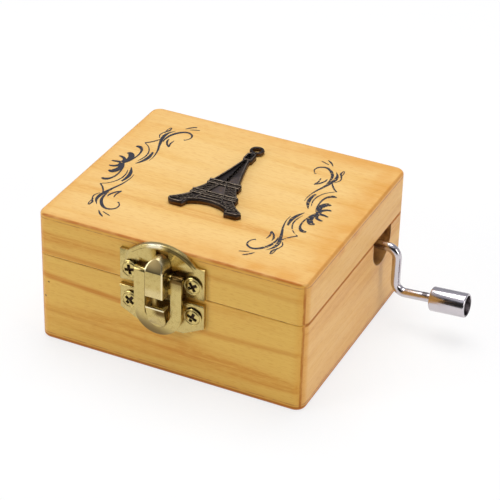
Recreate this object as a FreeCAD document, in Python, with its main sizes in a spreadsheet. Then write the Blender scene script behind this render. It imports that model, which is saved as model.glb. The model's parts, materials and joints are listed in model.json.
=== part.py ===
import FreeCAD, Part
import math
import os
import re
import Sketcher

# A small wooden music box with a hinged lid, a brass toggle latch and a hand crank.
# The crank turns a worm, the worm turns a pinned cylinder beside a steel comb.
# Origin: middle of the underside. +X is the crank side, -Y the latch side, +Z up. Millimetres.

doc = FreeCAD.newDocument("crank_music_box")

# ---------------------------------------------------------------- driving dimensions
dimensions = {
    # wooden case
    "box_width": 80,
    "box_depth": 69,
    "lid_height": 12.9,
    "seam_over_crank": 3.5,
    "board_thickness": 3,
    "wall_thickness": 6,
    "corner_radius": 3,
    "edge_radius": 1,
    "seam_bevel": 0.3,
    # clearances
    "running_clearance": 0.05,
    "side_gap": 0.15,
    "lid_gap": 0.25,
    # crank slot in the right wall
    "slot_width": 12.6,
    "slot_depth": 9.3,
    # toggle latch, measured from the seam and from the front of the case
    "latch_offset": -1.3,
    "sheet": 1,
    "plate_margin": 1.05,
    "shoulder_width": 2.2,
    "shoulder_sweep": 1.2,
    "arch_overhang": 1.2,
    "arch_height": 4.4,
    "rim_width": 1.3,
    "rim_rise": 0.5,
    "notch_gap": 0.35,
    "notch_clearance": 0.4,
    "catch_window_width": 3.6,
    "window_bridge": 1.1,
    "window_margin": 1.8,
    "anchor_top_drop": 1.3,
    "anchor_point": 3.1,
    "anchor_tip_width": 13,
    "catch_screw_rise": 4.2,
    "anchor_screw_drop": 5.5,
    "arm_width": 3.2,
    "lever_sheet": 0.9,
    "lever_front": 3.6,
    "lever_pivot_rise": 5.6,
    "lever_reach": 18,
    "knuckle_radius": 1.2,
    "latch_pin_radius": 0.5,
    "ear_sheet": 0.7,
    "ear_radius": 1.05,
    "tongue_width": 5.5,
    "tongue_front": 5.4,
    "tongue_top_drop": 3.3,
    "hook_width": 5.3,
    "hook_gap": 0.35,
    "hook_front": 6,
    "hook_back": 1.4,
    "hook_sheet": 0.8,
    "hook_pivot_drop": 4,
    "hook_foot_drop": 1.4,
    "hook_nose_gap": 0.8,
    "hook_nose_height": 3.15,
    "hook_nose_front": 4.2,
    # wood screws
    "screw_head_radius": 2.15,
    "screw_head_height": 0.9,
    "screw_shank_radius": 1,
    "screw_length": 5.2,
    # hinges on the back
    "hinge_inset": 18,
    "hinge_width": 16,
    "hinge_sheet": 0.8,
    "hinge_leaf_height": 7.4,
    "barrel_radius": 1.4,
    "barrel_gap": 0.1,
    "hinge_pin_radius": 0.6,
    "hinge_screw_spacing": 9.6,
    "hinge_screw_height": 4.4,
    "nail_head_radius": 1.3,
    "nail_head_height": 0.5,
    "nail_shank_radius": 0.6,
    "nail_length": 4.6,
    # tower charm glued on the lid
    "charm_offset": -0.35,
    "charm_foot_y": -13.9,
    "charm_turn": 1.2,
    "charm_thickness": 2,
    "charm_foot_width": 22,
    "charm_leg_gap": 12.6,
    "charm_arch_rise": 3.8,
    "charm_deck_rise": 7.4,
    "charm_deck_width": 13.8,
    "charm_deck_height": 2.4,
    "charm_upper_deck_rise": 14.1,
    "charm_upper_deck_width": 9.7,
    "charm_neck_rise": 31.2,
    "charm_neck_width": 1.8,
    "charm_neck_height": 4.4,
    "charm_band": 1.1,
    "charm_relief": 0.4,
    "charm_ring_rise": 36.2,
    "charm_ring_radius": 1.9,
    "charm_ring_hole_radius": 0.95,
    # crank
    "crank_inset": 16.2,
    "crank_gap": 4.8,
    "wire_radius": 1.35,
    "wire_overhang": 2.5,
    "crank_drop": 13.6,
    "bend_radius": 3,
    "handle_lift": 4,
    "handle_run": 8,
    "knob_radius": 3.5,
    "knob_length": 10.6,
    "knob_floor": 5.2,
    "knob_wall": 0.7,
    "knob_bevel": 0.3,
    "washer_gap": 0.5,
    "washer_thickness": 0.8,
    "wire_end": 0.4,
    # worm and wheel
    "gear_module": 0.6,
    "wheel_teeth": 20,
    "worm_wall": 0.35,
    "tooth_addendum": 0.5,
    "tooth_dedendum": 0.7,
    "tooth_share": 0.37,
    "flank_angle": 20,
    "worm_turns": 4,
    "wheel_face": 2.2,
    "wheel_hub_radius": 2.6,
    "wheel_hub_length": 3,
    "hub_gap": 1.5,
    # pinned cylinder
    "cylinder_offset": 8,
    "drum_radius": 6.5,
    "drum_wall": 0.8,
    "drum_clearance": 3.3,
    "drum_margin": 0.6,
    "cap_thickness": 1.2,
    "arbor_radius": 1,
    "arbor_stub": 0.8,
    "arbor_overhang": 0.5,
    "pin_rise": 0.6,
    "pin_thickness": 0.4,
    "pin_root": 0.1,
    # comb
    "comb_clearance": 0.12,
    "comb_thickness": 1,
    "comb_teeth": 18,
    "comb_pitch": 1.1,
    "comb_slot": 0.3,
    "comb_land": 7.5,
    "bass_tooth": 14.5,
    "treble_tooth": 10,
    "comb_screw_inset": 3.4,
    # movement base and brackets
    "bed_thickness": 2,
    "bed_margin": 1.6,
    "bed_corner": 2.5,
    "bracket_sheet": 1.4,
    "cheek_gap": 1.1,
    "cheek_depth": 7.3,
    "web_gap": 0.5,
    "bearing_rim": 3.2,
    "foot_length": 5.2,
    "bearing_gap": 1.5,
    "front_bearing_width": 9,
    "machine_head_radius": 1.7,
    "machine_head_height": 1,
    "machine_shank_radius": 0.8,
    "thread_depth": 1.4,
    "mount_shank_radius": 1.2,
    "mount_head_radius": 2.4,
}

sizes = doc.addObject("Spreadsheet::Sheet", "Sizes")
for row, (alias, value) in enumerate(dimensions.items(), start=1):
    sizes.set("A%d" % row, alias)
    sizes.set("B%d" % row, str(value))
    sizes.setAlias("B%d" % row, alias)

# ---------------------------------------------------------------- shared places
# Each is worked out from the driving dimensions by the document itself.
places = {
    "half_width": "box_width / 2",
    "half_depth": "box_depth / 2",
    # movement, from the bed up and from the crank forward
    "bed_top": "board_thickness + bed_thickness",
    "pitch_radius": "gear_module * round(wheel_teeth) / 2",
    "tooth_pitch": "gear_module * pi",
    "worm_pitch_radius": "wire_radius + worm_wall + tooth_dedendum",
    "cylinder_z": "bed_top + drum_clearance + pin_rise + drum_radius",
    "crank_height": "cylinder_z + pitch_radius + worm_pitch_radius",
    "crank_offset": "half_depth - crank_inset",
    "comb_width": "round(comb_teeth) * comb_pitch",
    "drum_length": "comb_width + 2 * drum_margin",
    "drum_back": "crank_offset - wheel_face / 2 - wheel_hub_length - hub_gap",
    "drum_front": "drum_back - drum_length",
    "comb_middle": "(drum_front + drum_back) / 2",
    "comb_tip_x": "cylinder_offset - drum_radius - pin_rise - comb_clearance",
    "comb_end_x": "comb_tip_x - bass_tooth - comb_land",
    "comb_bottom": "cylinder_z - comb_thickness / 2",
    "comb_screw_y": "comb_width / 2 - comb_screw_inset",
    "front_bearing_y": "drum_front - bearing_gap - bracket_sheet",
    "cheek_inner": "pitch_radius + tooth_addendum + cheek_gap",
    "cheek_outer": "cheek_inner + bracket_sheet",
    "web_front": "crank_offset + worm_pitch_radius + tooth_addendum + web_gap",
    "cheek_front": "web_front - cheek_depth",
    "arbor_front": "front_bearing_y - arbor_stub",
    "arbor_back": "web_front + bracket_sheet + arbor_overhang",
    "bed_left": "comb_end_x - bed_margin",
    "bed_right": "cylinder_offset + cheek_outer + foot_length + bed_margin",
    "bed_front": "front_bearing_y - foot_length - bed_margin",
    "bed_back": "web_front + bracket_sheet + bed_margin",
    "machine_length": "bracket_sheet + thread_depth",
    # case
    "seam_height": "crank_height + seam_over_crank",
    "box_height": "seam_height + lid_height",
    "base_wall_height": "seam_height - board_thickness",
    "lid_wall_height": "lid_height - board_thickness",
    "hinge_x": "half_width - hinge_inset",
    "barrel_offset": "barrel_radius + barrel_gap",
    # toggle latch, outward from the hook and up from the seam
    "lever_slot_width": "hook_width + 2 * (hook_gap + ear_sheet + side_gap)",
    "lever_width": "lever_slot_width + 2 * arm_width",
    "latch_screw_x": "lever_width / 2 + screw_head_radius + side_gap",
    "latch_width": "2 * (latch_screw_x + screw_head_radius + plate_margin)",
    "arch_width": "latch_width - 2 * shoulder_width",
    "arch_rise": "lid_height + arch_overhang",
    "shoulder_rise": "arch_rise - arch_height",
    "arch_radius": "((arch_width / 2)^2 + arch_height^2) / (2 * arch_height)",
    "notch_width": "lever_width + 2 * notch_gap",
    "notch_rise": "lever_pivot_rise + knuckle_radius + notch_clearance",
    "catch_bottom": "seam_height + lid_gap",
    "catch_window_bottom": "notch_rise + window_bridge",
    "catch_window_top": "arch_rise - window_margin",
    "anchor_side_drop": "anchor_screw_drop + screw_head_radius + plate_margin",
    "anchor_tip_drop": "anchor_side_drop + anchor_point",
    "lever_pivot_z": "seam_height + lever_pivot_rise",
    "lever_pivot_y": "lever_front - knuckle_radius",
    "hook_pivot_z": "lever_pivot_z - hook_pivot_drop",
    "hook_nose_rise": "catch_window_top - hook_nose_gap",
    "hook_shoulder_rise": "hook_nose_rise - hook_nose_height",
    "ear_outer": "lever_slot_width / 2 - side_gap",
    # crank
    "crank_reach": "half_width + crank_gap",
    "wire_start": "cylinder_offset - cheek_outer - wire_overhang",
    "handle_x": "crank_reach + bend_radius + bend_radius * sin(handle_lift)",
    "knob_x": "handle_x + handle_run * cos(handle_lift)",
    "knob_z": "crank_height - crank_drop + handle_run * sin(handle_lift)",
    "washer_run": "handle_run + knob_floor + side_gap",
    "washer_radius": "knob_radius - knob_wall - washer_gap",
}


def linked(formula):
    """Put the sheet's or the layout's name before each plain name in a formula."""

    def owner(match):
        word = match.group(0)
        if word in dimensions:
            return "Sizes." + word
        if word in places:
            return "Layout." + word
        return word

    return re.sub(r"[a-z][a-z_0-9]*", owner, str(formula))


layout = doc.addObject("App::VarSet", "Layout")
for place_name in places:
    layout.addProperty("App::PropertyFloat", place_name)
for place_name, formula in places.items():
    layout.setExpression(place_name, linked(formula))
doc.recompute()


def number(formula):
    """The present value of a formula, for a first guess or a count."""
    return float(sizes.evalExpression(linked(formula)))


# ---------------------------------------------------------------- building helpers
parts = {}


def keep(name, item):
    item.Label = name
    parts[name] = item
    return item


def locate(item, x=0, y=0, z=0, axis=None, angle=0):
    """Bind an object's place to formulas, turned about an axis first."""
    if axis is not None:
        turn = FreeCAD.Rotation(FreeCAD.Vector(*axis), number(angle))
        item.Placement = FreeCAD.Placement(FreeCAD.Vector(), turn)
        item.setExpression("Placement.Rotation.Angle", linked(angle))
    item.setExpression("Placement.Base.x", linked(x))
    item.setExpression("Placement.Base.y", linked(y))
    item.setExpression("Placement.Base.z", linked(z))
    return item


def new_body(name, **place):
    body = doc.addObject("PartDesign::Body", name + "_body")
    locate(body, **place)
    return body


def sketch_on(body, role, offset=0):
    plane = [item for item in body.Origin.OriginFeatures if item.Role == role][0]
    sketch = body.newObject("Sketcher::SketchObject", body.Name + "_sketch")
    sketch.AttachmentSupport = [(plane, "")]
    sketch.MapMode = "FlatFace"
    sketch.setExpression("AttachmentOffset.Base.z", linked(offset))
    return sketch


def pin_point(sketch, shape, end, x, y):
    """Fix one end of a line, or a centre, at formulas for its two coordinates."""
    for kind, formula in (("DistanceX", x), ("DistanceY", y)):
        spot = sketch.addConstraint(Sketcher.Constraint(kind, -1, 1, shape, end, number(formula)))
        sketch.setExpression("Constraints[%d]" % spot, linked(formula))


def circle(sketch, x, y, radius):
    centre = FreeCAD.Vector(number(x), number(y), 0)
    shape = sketch.addGeometry(Part.Circle(centre, FreeCAD.Vector(0, 0, 1), number(radius)))
    pin_point(sketch, shape, 3, x, y)
    spot = sketch.addConstraint(Sketcher.Constraint("Radius", shape, number(radius)))
    sketch.setExpression("Constraints[%d]" % spot, linked(radius))


def path(sketch, corners, closed=True):
    """Lines and arcs through corners, each bound to its formulas.

    A corner is (x, y), reached by a line, or (x, y, centre x, centre y, turn), reached by
    an arc, with turn 1 anticlockwise and -1 clockwise.
    """
    points = [FreeCAD.Vector(number(corner[0]), number(corner[1]), 0) for corner in corners]
    edges = []
    first = 0 if closed else 1
    for index in range(first, len(corners)):
        corner = corners[index]
        start = points[index - 1]
        finish = points[index]
        if len(corner) == 2:
            shape = sketch.addGeometry(Part.LineSegment(start, finish))
            ends = (1, 2)
        else:
            centre = FreeCAD.Vector(number(corner[2]), number(corner[3]), 0)
            ring = Part.Circle(centre, FreeCAD.Vector(0, 0, 1), centre.distanceToPoint(finish))
            from_angle = math.atan2(start.y - centre.y, start.x - centre.x)
            to_angle = math.atan2(finish.y - centre.y, finish.x - centre.x)
            ends = (1, 2)
            if corner[4] < 0:
                from_angle, to_angle = to_angle, from_angle
                ends = (2, 1)
            shape = sketch.addGeometry(Part.ArcOfCircle(ring, from_angle, to_angle))
        edges.append((shape, ends, index))
    for (before, before_ends, _), (after, after_ends, _) in zip(edges, edges[1:]):
        joint = Sketcher.Constraint("Coincident", before, before_ends[1], after, after_ends[0])
        sketch.addConstraint(joint)
    if closed:
        last, last_ends, _ = edges[-1]
        head, head_ends, _ = edges[0]
        sketch.addConstraint(Sketcher.Constraint("Coincident", last, last_ends[1], head, head_ends[0]))
    else:
        head, head_ends, _ = edges[0]
        pin_point(sketch, head, head_ends[0], corners[0][0], corners[0][1])
    for shape, ends, index in edges:
        corner = corners[index]
        pin_point(sketch, shape, ends[1], corner[0], corner[1])
        if len(corner) > 2:
            chord = points[index] - points[index - 1]
            across = abs(chord.x) >= abs(chord.y)
            kind, formula = ("DistanceY", corner[3]) if across else ("DistanceX", corner[2])
            spot = sketch.addConstraint(Sketcher.Constraint(kind, -1, 1, shape, 3, number(formula)))
            sketch.setExpression("Constraints[%d]" % spot, linked(formula))


def rectangle(sketch, left, bottom, right, top):
    path(sketch, [(left, bottom), (right, bottom), (right, top), (left, top)])


def pad(body, sketch, length, back=False, middle=False):
    doc.recompute()
    feature = body.newObject("PartDesign::Pad", body.Name + "_pad")
    feature.Profile = sketch
    feature.setExpression("Length", linked(length))
    feature.Reversed = back
    feature.Midplane = middle
    doc.recompute()
    return feature


def pocket(body, sketch, length, back=False, middle=False):
    doc.recompute()
    before = body.Shape.Volume
    feature = body.newObject("PartDesign::Pocket", body.Name + "_pocket")
    feature.Profile = sketch
    feature.setExpression("Length", linked(length))
    feature.Reversed = back
    feature.Midplane = middle
    doc.recompute()
    if not body.Shape.Volume < before:
        raise ValueError("a pocket of %s removes nothing" % body.Label)
    return feature


def revolve(body, sketch, axis="V_Axis"):
    doc.recompute()
    feature = body.newObject("PartDesign::Revolution", body.Name + "_revolution")
    feature.Profile = sketch
    feature.ReferenceAxis = (sketch, [axis])
    feature.Angle = 360
    doc.recompute()
    return feature


def edges_where(shape, test):
    """Names of the edges whose middle point passes a test."""
    names = []
    for index, edge in enumerate(shape.Edges, start=1):
        middle = edge.valueAt((edge.FirstParameter + edge.LastParameter) / 2)
        if test(middle, edge):
            names.append("Edge%d" % index)
    return names


def soften(body, kind, size, test):
    """Fillet or chamfer, on edges picked in the body's own frame."""
    doc.recompute()
    base = body.Tip
    feature = body.newObject("PartDesign::" + kind, body.Name + "_" + kind.lower())
    feature.Base = (base, edges_where(base.Shape, test))
    feature.setExpression("Radius" if kind == "Fillet" else "Size", linked(size))
    body.Tip = feature
    doc.recompute()
    return feature


def near(value, formula):
    return abs(value - number(formula)) < 0.01


def copies(name, piece, spots):
    """One node that holds several places of the same small piece."""
    links = []
    for spot in spots:
        link = doc.addObject("App::Link", name + "_place")
        link.LinkedObject = piece
        locate(link, **spot)
        links.append(link)
    group = doc.addObject("Part::Compound", name + "_group")
    group.Links = links
    return keep(name, group)


def rod(name, radius, length, **place):
    piece = doc.addObject("Part::Cylinder", name + "_rod")
    piece.setExpression("Radius", linked(radius))
    piece.setExpression("Height", linked(length))
    locate(piece, **place)
    return piece


# ---------------------------------------------------------------- wooden case
EASED = "corner_radius * (1 - cos(45))"


def mitred_wall(name, reach, bottom, height, seam_at, **place):
    """A case wall: outer face on its own XZ plane, mitred ends, half of each round corner."""
    body = new_body(name, z=bottom, **place)
    flat = "(%s - corner_radius)" % reach
    tip = "(%s - %s)" % (reach, EASED)
    inner = "(%s - wall_thickness)" % reach
    sketch = sketch_on(body, "XY_Plane")
    path(sketch, [
        ("-" + flat, 0, "-" + flat, "corner_radius", 1),
        (flat, 0),
        (tip, EASED, flat, "corner_radius", 1),
        (inner, "wall_thickness"),
        ("-" + inner, "wall_thickness"),
        ("-" + tip, EASED),
    ])
    pad(body, sketch, height)
    soften(body, "Chamfer", "seam_bevel",
           lambda middle, edge: near(middle.z, seam_at) and middle.y < number(EASED) - 0.1)
    return keep(name, body)


def drill(body, role, offset, spots, radius, depth, back=False):
    sketch = sketch_on(body, role, offset)
    for x, y in spots:
        circle(sketch, x, y, radius)
    return pocket(body, sketch, depth, back=back)


def rounded_board(name, bottom, eased_at, **place):
    body = new_body(name, z=bottom, **place)
    sketch = sketch_on(body, "XY_Plane")
    across = "(half_width - corner_radius)"
    along = "(half_depth - corner_radius)"
    path(sketch, [
        ("-half_width", "-" + along),
        ("-" + across, "-half_depth", "-" + across, "-" + along, 1),
        (across, "-half_depth"),
        ("half_width", "-" + along, across, "-" + along, 1),
        ("half_width", along),
        (across, "half_depth", across, along, 1),
        ("-" + across, "half_depth"),
        ("-half_width", along, "-" + across, along, 1),
    ])
    pad(body, sketch, "board_thickness")
    soften(body, "Fillet", "edge_radius", lambda middle, edge: near(middle.z, eased_at))
    return keep(name, body)


WALLS = (
    ("front", "half_width", {"y": "-half_depth", "axis": (0, 0, 1), "angle": 0}),
    ("right", "half_depth", {"x": "half_width", "axis": (0, 0, 1), "angle": 90}),
    ("back", "half_width", {"y": "half_depth", "axis": (0, 0, 1), "angle": 180}),
    ("left", "half_depth", {"x": "-half_width", "axis": (0, 0, 1), "angle": 270}),
)
for side, reach, place in WALLS:
    mitred_wall("base_%s_wall" % side, reach, "board_thickness",
                "base_wall_height", "base_wall_height", **place)
    mitred_wall("lid_%s_wall" % side, reach, "seam_height",
                "lid_wall_height", 0, **place)

rounded_board("top_board", "box_height - board_thickness", "board_thickness")
rounded_board("bottom_board", 0, 0)

# pilot holes for the latch screws
PILOT = "screw_shank_radius + running_clearance"
PILOT_DEPTH = "screw_length - sheet + side_gap"
LATCH_SCREWS_X = ("latch_offset - latch_screw_x", "latch_offset + latch_screw_x")
drill(parts["lid_front_wall"], "XZ_Plane", 0,
      [(x, "catch_screw_rise") for x in LATCH_SCREWS_X], PILOT, PILOT_DEPTH)
drill(parts["base_front_wall"], "XZ_Plane", 0,
      [(x, "base_wall_height - anchor_screw_drop") for x in LATCH_SCREWS_X], PILOT, PILOT_DEPTH)

# pilot holes for the hinge nails
NAILS_X = [centre + step for centre in ("-hinge_x", "hinge_x")
           for step in (" - hinge_screw_spacing / 2", " + hinge_screw_spacing / 2")]
NAIL_PILOT = "nail_shank_radius + running_clearance"
NAIL_DEPTH = "nail_length - hinge_sheet + side_gap"
drill(parts["lid_back_wall"], "XZ_Plane", 0,
      [(x, "hinge_screw_height") for x in NAILS_X], NAIL_PILOT, NAIL_DEPTH)
drill(parts["base_back_wall"], "XZ_Plane", 0,
      [(x, "base_wall_height - hinge_screw_height") for x in NAILS_X], NAIL_PILOT, NAIL_DEPTH)

# round-bottomed slot for the crank, open at the seam
slot = sketch_on(parts["base_right_wall"], "XZ_Plane", "side_gap")
SLOT_FLOOR = "base_wall_height - slot_depth + slot_width / 2"
path(slot, [
    ("crank_offset - slot_width / 2", SLOT_FLOOR),
    ("crank_offset + slot_width / 2", SLOT_FLOOR, "crank_offset", SLOT_FLOOR, 1),
    ("crank_offset + slot_width / 2", "base_wall_height + seam_bevel"),
    ("crank_offset - slot_width / 2", "base_wall_height + seam_bevel"),
])
pocket(parts["base_right_wall"], slot, "wall_thickness + 2 * side_gap")

# countersunk holes under the movement
MOUNT_SPOTS = (
    ("bed_left + 2 * mount_head_radius", "bed_front + 2 * mount_head_radius"),
    ("bed_left + 2 * mount_head_radius", "bed_back - 2 * mount_head_radius"),
    ("bed_right - 2 * mount_head_radius", "(bed_front + bed_back) / 2"),
)
MOUNT_HOLE = "mount_shank_radius + running_clearance"
drill(parts["bottom_board"], "XY_Plane", 0, MOUNT_SPOTS, MOUNT_HOLE, "board_thickness", back=True)
soften(parts["bottom_board"], "Chamfer", "mount_head_radius - mount_shank_radius",
       lambda middle, edge: near(middle.z, 0) and edge.Curve.TypeId == "Part::GeomCircle"
       and near(edge.Curve.Radius, MOUNT_HOLE))

# ---------------------------------------------------------------- screws
def screw(name, head_radius, head_height, shank_radius, length):
    """Head above its own XY plane, shank below."""
    body = new_body(name)
    sketch = sketch_on(body, "XZ_Plane")
    path(sketch, [
        (0, head_height),
        (0, "-(%s)" % length),
        (shank_radius, "-(%s)" % length),
        (shank_radius, 0),
        (head_radius, 0),
        (head_radius, "(%s) * 0.35" % head_height),
        ("(%s) * 0.7" % head_radius, head_height),
    ])
    revolve(body, sketch)
    body.Label = name
    return body


wood_screw = screw("wood_screw_piece", "screw_head_radius", "screw_head_height",
                   "screw_shank_radius", "screw_length")
nail = screw("nail_piece", "nail_head_radius", "nail_head_height", "nail_shank_radius", "nail_length")
machine_screw = screw("machine_screw_piece", "machine_head_radius", "machine_head_height",
                      "machine_shank_radius", "machine_length")

FACING_FRONT = {"axis": (1, 0, 0), "angle": 90}
FACING_BACK = {"axis": (1, 0, 0), "angle": -90}
OFF_FRONT = "-half_depth - sheet"
OFF_BACK = "half_depth + hinge_sheet"
copies("catch_plate_screws", wood_screw, [
    dict(x=x, y=OFF_FRONT, z="seam_height + catch_screw_rise", **FACING_FRONT) for x in LATCH_SCREWS_X])
copies("latch_base_screws", wood_screw, [
    dict(x=x, y=OFF_FRONT, z="seam_height - anchor_screw_drop", **FACING_FRONT) for x in LATCH_SCREWS_X])
copies("lid_hinge_nails", nail, [
    dict(x=x, y=OFF_BACK, z="seam_height + hinge_screw_height", **FACING_BACK) for x in NAILS_X])
copies("base_hinge_nails", nail, [
    dict(x=x, y=OFF_BACK, z="seam_height - hinge_screw_height", **FACING_BACK) for x in NAILS_X])

# ---------------------------------------------------------------- toggle latch
FRONT = {"x": "latch_offset", "y": "-half_depth"}
LATCH_PIVOT = ("-lever_pivot_y", "lever_pivot_z")
HOOK_PIVOT = ("-lever_pivot_y", "hook_pivot_z")
SCREW_HOLE = "screw_shank_radius + running_clearance"

catch = new_body("catch_plate", **FRONT)
SHOULDER = "seam_height + shoulder_rise"
ARCH_MIDDLE = "seam_height + arch_rise - arch_radius"
NOTCH_TOP = "seam_height + notch_rise"
outline = sketch_on(catch, "XZ_Plane")
path(outline, [
    ("-latch_width / 2", "catch_bottom"),
    ("-notch_width / 2", "catch_bottom"),
    ("-notch_width / 2", NOTCH_TOP),
    ("notch_width / 2", NOTCH_TOP),
    ("notch_width / 2", "catch_bottom"),
    ("latch_width / 2", "catch_bottom"),
    ("latch_width / 2", SHOULDER),
    ("arch_width / 2", SHOULDER),
    ("-arch_width / 2", SHOULDER, 0, ARCH_MIDDLE, 1),
    ("-latch_width / 2", SHOULDER),
])
pad(catch, outline, "sheet")
soften(catch, "Fillet", "shoulder_sweep",
       lambda middle, edge: near(middle.z, SHOULDER) and near(abs(middle.x), "arch_width / 2"))
rim = sketch_on(catch, "XZ_Plane", "sheet")
RIM_INNER = "sqrt((arch_radius - rim_width)^2 - (arch_radius - arch_height)^2)"
path(rim, [
    ("arch_width / 2", SHOULDER),
    ("-arch_width / 2", SHOULDER, 0, ARCH_MIDDLE, 1),
    ("-" + RIM_INNER, SHOULDER),
    (RIM_INNER, SHOULDER, 0, ARCH_MIDDLE, -1),
])
pad(catch, rim, "rim_rise")
window = sketch_on(catch, "XZ_Plane", "sheet + rim_rise")
rectangle(window, "-catch_window_width / 2", "seam_height + catch_window_bottom",
          "catch_window_width / 2", "seam_height + catch_window_top")
pocket(catch, window, "sheet + 2 * rim_rise")
drill(catch, "XZ_Plane", "sheet",
      [("-latch_screw_x", "seam_height + catch_screw_rise"),
       ("latch_screw_x", "seam_height + catch_screw_rise")], SCREW_HOLE, "sheet")
soften(catch, "Fillet", "rim_rise * 0.9",
       lambda middle, edge: near(-middle.y, "sheet + rim_rise") and edge.Curve.TypeId == "Part::GeomCircle")
keep("catch_plate", catch)

anchor = new_body("latch_base_plate", **FRONT)
ANCHOR_TOP = "seam_height - anchor_top_drop"
outline = sketch_on(anchor, "XZ_Plane")
path(outline, [
    ("-latch_width / 2", "seam_height - anchor_side_drop"),
    ("-anchor_tip_width / 2", "seam_height - anchor_tip_drop"),
    ("anchor_tip_width / 2", "seam_height - anchor_tip_drop"),
    ("latch_width / 2", "seam_height - anchor_side_drop"),
    ("latch_width / 2", ANCHOR_TOP),
    ("-latch_width / 2", ANCHOR_TOP),
])
pad(anchor, outline, "sheet")
lip = sketch_on(anchor, "XZ_Plane", "sheet")
for inner, outer in (("-latch_width / 2", "-ear_outer - rim_width"),
                     ("ear_outer + rim_width", "latch_width / 2")):
    rectangle(lip, inner, ANCHOR_TOP + " - rim_width * 0.6", outer, ANCHOR_TOP)
pad(anchor, lip, "rim_rise")
neck = sketch_on(anchor, "XZ_Plane", "lid_gap")
rectangle(neck, "-ear_outer", ANCHOR_TOP + " - sheet", "ear_outer", "lever_pivot_z")
pad(anchor, neck, "sheet - side_gap")
for start in ("-ear_outer", "ear_outer - ear_sheet"):
    ear = sketch_on(anchor, "YZ_Plane", start)
    path(ear, [
        ("-lid_gap", "lever_pivot_z - 2.4 * ear_radius"),
        ("-lid_gap", "lever_pivot_z + ear_radius"),
        ("-lever_pivot_y", "lever_pivot_z + ear_radius"),
        ("-lever_pivot_y - ear_radius", "lever_pivot_z", "-lever_pivot_y", "lever_pivot_z", 1),
    ])
    pad(anchor, ear, "ear_sheet")
holes = sketch_on(anchor, "YZ_Plane")
circle(holes, *LATCH_PIVOT, "latch_pin_radius")
pocket(anchor, holes, "lever_width", middle=True)
drill(anchor, "XZ_Plane", "sheet",
      [("-latch_screw_x", "seam_height - anchor_screw_drop"),
       ("latch_screw_x", "seam_height - anchor_screw_drop")], SCREW_HOLE, "sheet")
soften(anchor, "Fillet", "rim_rise * 0.8",
       lambda middle, edge: near(-middle.y, "sheet + rim_rise") and near(middle.z, ANCHOR_TOP))
keep("latch_base_plate", anchor)

lever = new_body("latch_lever", **FRONT)
ROUND_MIDDLE = "(lever_pivot_z - lever_reach + lever_width / 2)"
TONGUE_TOP = "(seam_height - tongue_top_drop)"
TONGUE_FOOT = "(%s - lever_slot_width / 2 - lever_sheet)" % ROUND_MIDDLE
tongue = sketch_on(lever, "YZ_Plane")
path(tongue, [
    ("lever_sheet - lever_front", TONGUE_FOOT),
    ("lever_sheet - lever_front", TONGUE_TOP),
    ("-tongue_front", TONGUE_TOP),
    ("-lever_front", TONGUE_FOOT),
])
pad(lever, tongue, "tongue_width", middle=True)
hollow = sketch_on(lever, "YZ_Plane")
path(hollow, [
    ("-lever_front / 2", TONGUE_FOOT + " + 2 * lever_sheet"),
    ("-lever_front / 2", TONGUE_TOP + " + lever_sheet"),
    ("lever_sheet - tongue_front", TONGUE_TOP + " + lever_sheet"),
    ("lever_sheet - tongue_front", TONGUE_TOP),
    ("-lever_front", TONGUE_FOOT + " + 3 * lever_sheet"),
])
pocket(lever, hollow, "tongue_width - 1.6 * lever_sheet", middle=True)
for sign, turn in (("-", 1), ("", -1)):
    corner = sketch_on(lever, "XZ_Plane", "tongue_front")
    path(corner, [
        (sign + "tongue_width / 2", TONGUE_FOOT + " - lever_sheet"),
        (sign + "tongue_width / 2", TONGUE_FOOT + " + tongue_width / 2"),
        (0, TONGUE_FOOT, 0, TONGUE_FOOT + " + tongue_width / 2", turn),
        (0, TONGUE_FOOT + " - lever_sheet"),
    ])
    pocket(lever, corner, "tongue_front")
plate = sketch_on(lever, "XZ_Plane", "lever_front - lever_sheet")
path(plate, [
    ("-lever_width / 2", "lever_pivot_z"),
    ("-lever_width / 2", ROUND_MIDDLE),
    ("lever_width / 2", ROUND_MIDDLE, 0, ROUND_MIDDLE, 1),
    ("lever_width / 2", "lever_pivot_z"),
    ("lever_slot_width / 2", "lever_pivot_z"),
    ("lever_slot_width / 2", ROUND_MIDDLE),
    ("-lever_slot_width / 2", ROUND_MIDDLE, 0, ROUND_MIDDLE, -1),
    ("-lever_slot_width / 2", "lever_pivot_z"),
])
pad(lever, plate, "lever_sheet")
for start in ("-lever_width / 2", "lever_slot_width / 2"):
    knuckle = sketch_on(lever, "YZ_Plane", start)
    circle(knuckle, *LATCH_PIVOT, "knuckle_radius")
    pad(lever, knuckle, "(lever_width - lever_slot_width) / 2")
for start in ("-lever_slot_width / 2 - ear_sheet", "ear_outer - ear_sheet"):
    lug = sketch_on(lever, "YZ_Plane", start)
    path(lug, [
        ("lever_sheet / 2 - lever_front", "hook_pivot_z - ear_radius"),
        ("-lever_pivot_y", "hook_pivot_z - ear_radius"),
        ("-lever_pivot_y", "hook_pivot_z + ear_radius", "-lever_pivot_y", "hook_pivot_z", 1),
        ("lever_sheet / 2 - lever_front", "hook_pivot_z + ear_radius"),
    ])
    pad(lever, lug, "2 * ear_sheet + side_gap")
bores = sketch_on(lever, "YZ_Plane")
circle(bores, *LATCH_PIVOT, "latch_pin_radius + running_clearance")
pocket(lever, bores, "lever_width + 2 * side_gap", middle=True)
seats = sketch_on(lever, "YZ_Plane")
circle(seats, *HOOK_PIVOT, "latch_pin_radius")
pocket(lever, seats, "lever_slot_width + 3 * ear_sheet", middle=True)
keep("latch_lever", lever)

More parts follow.
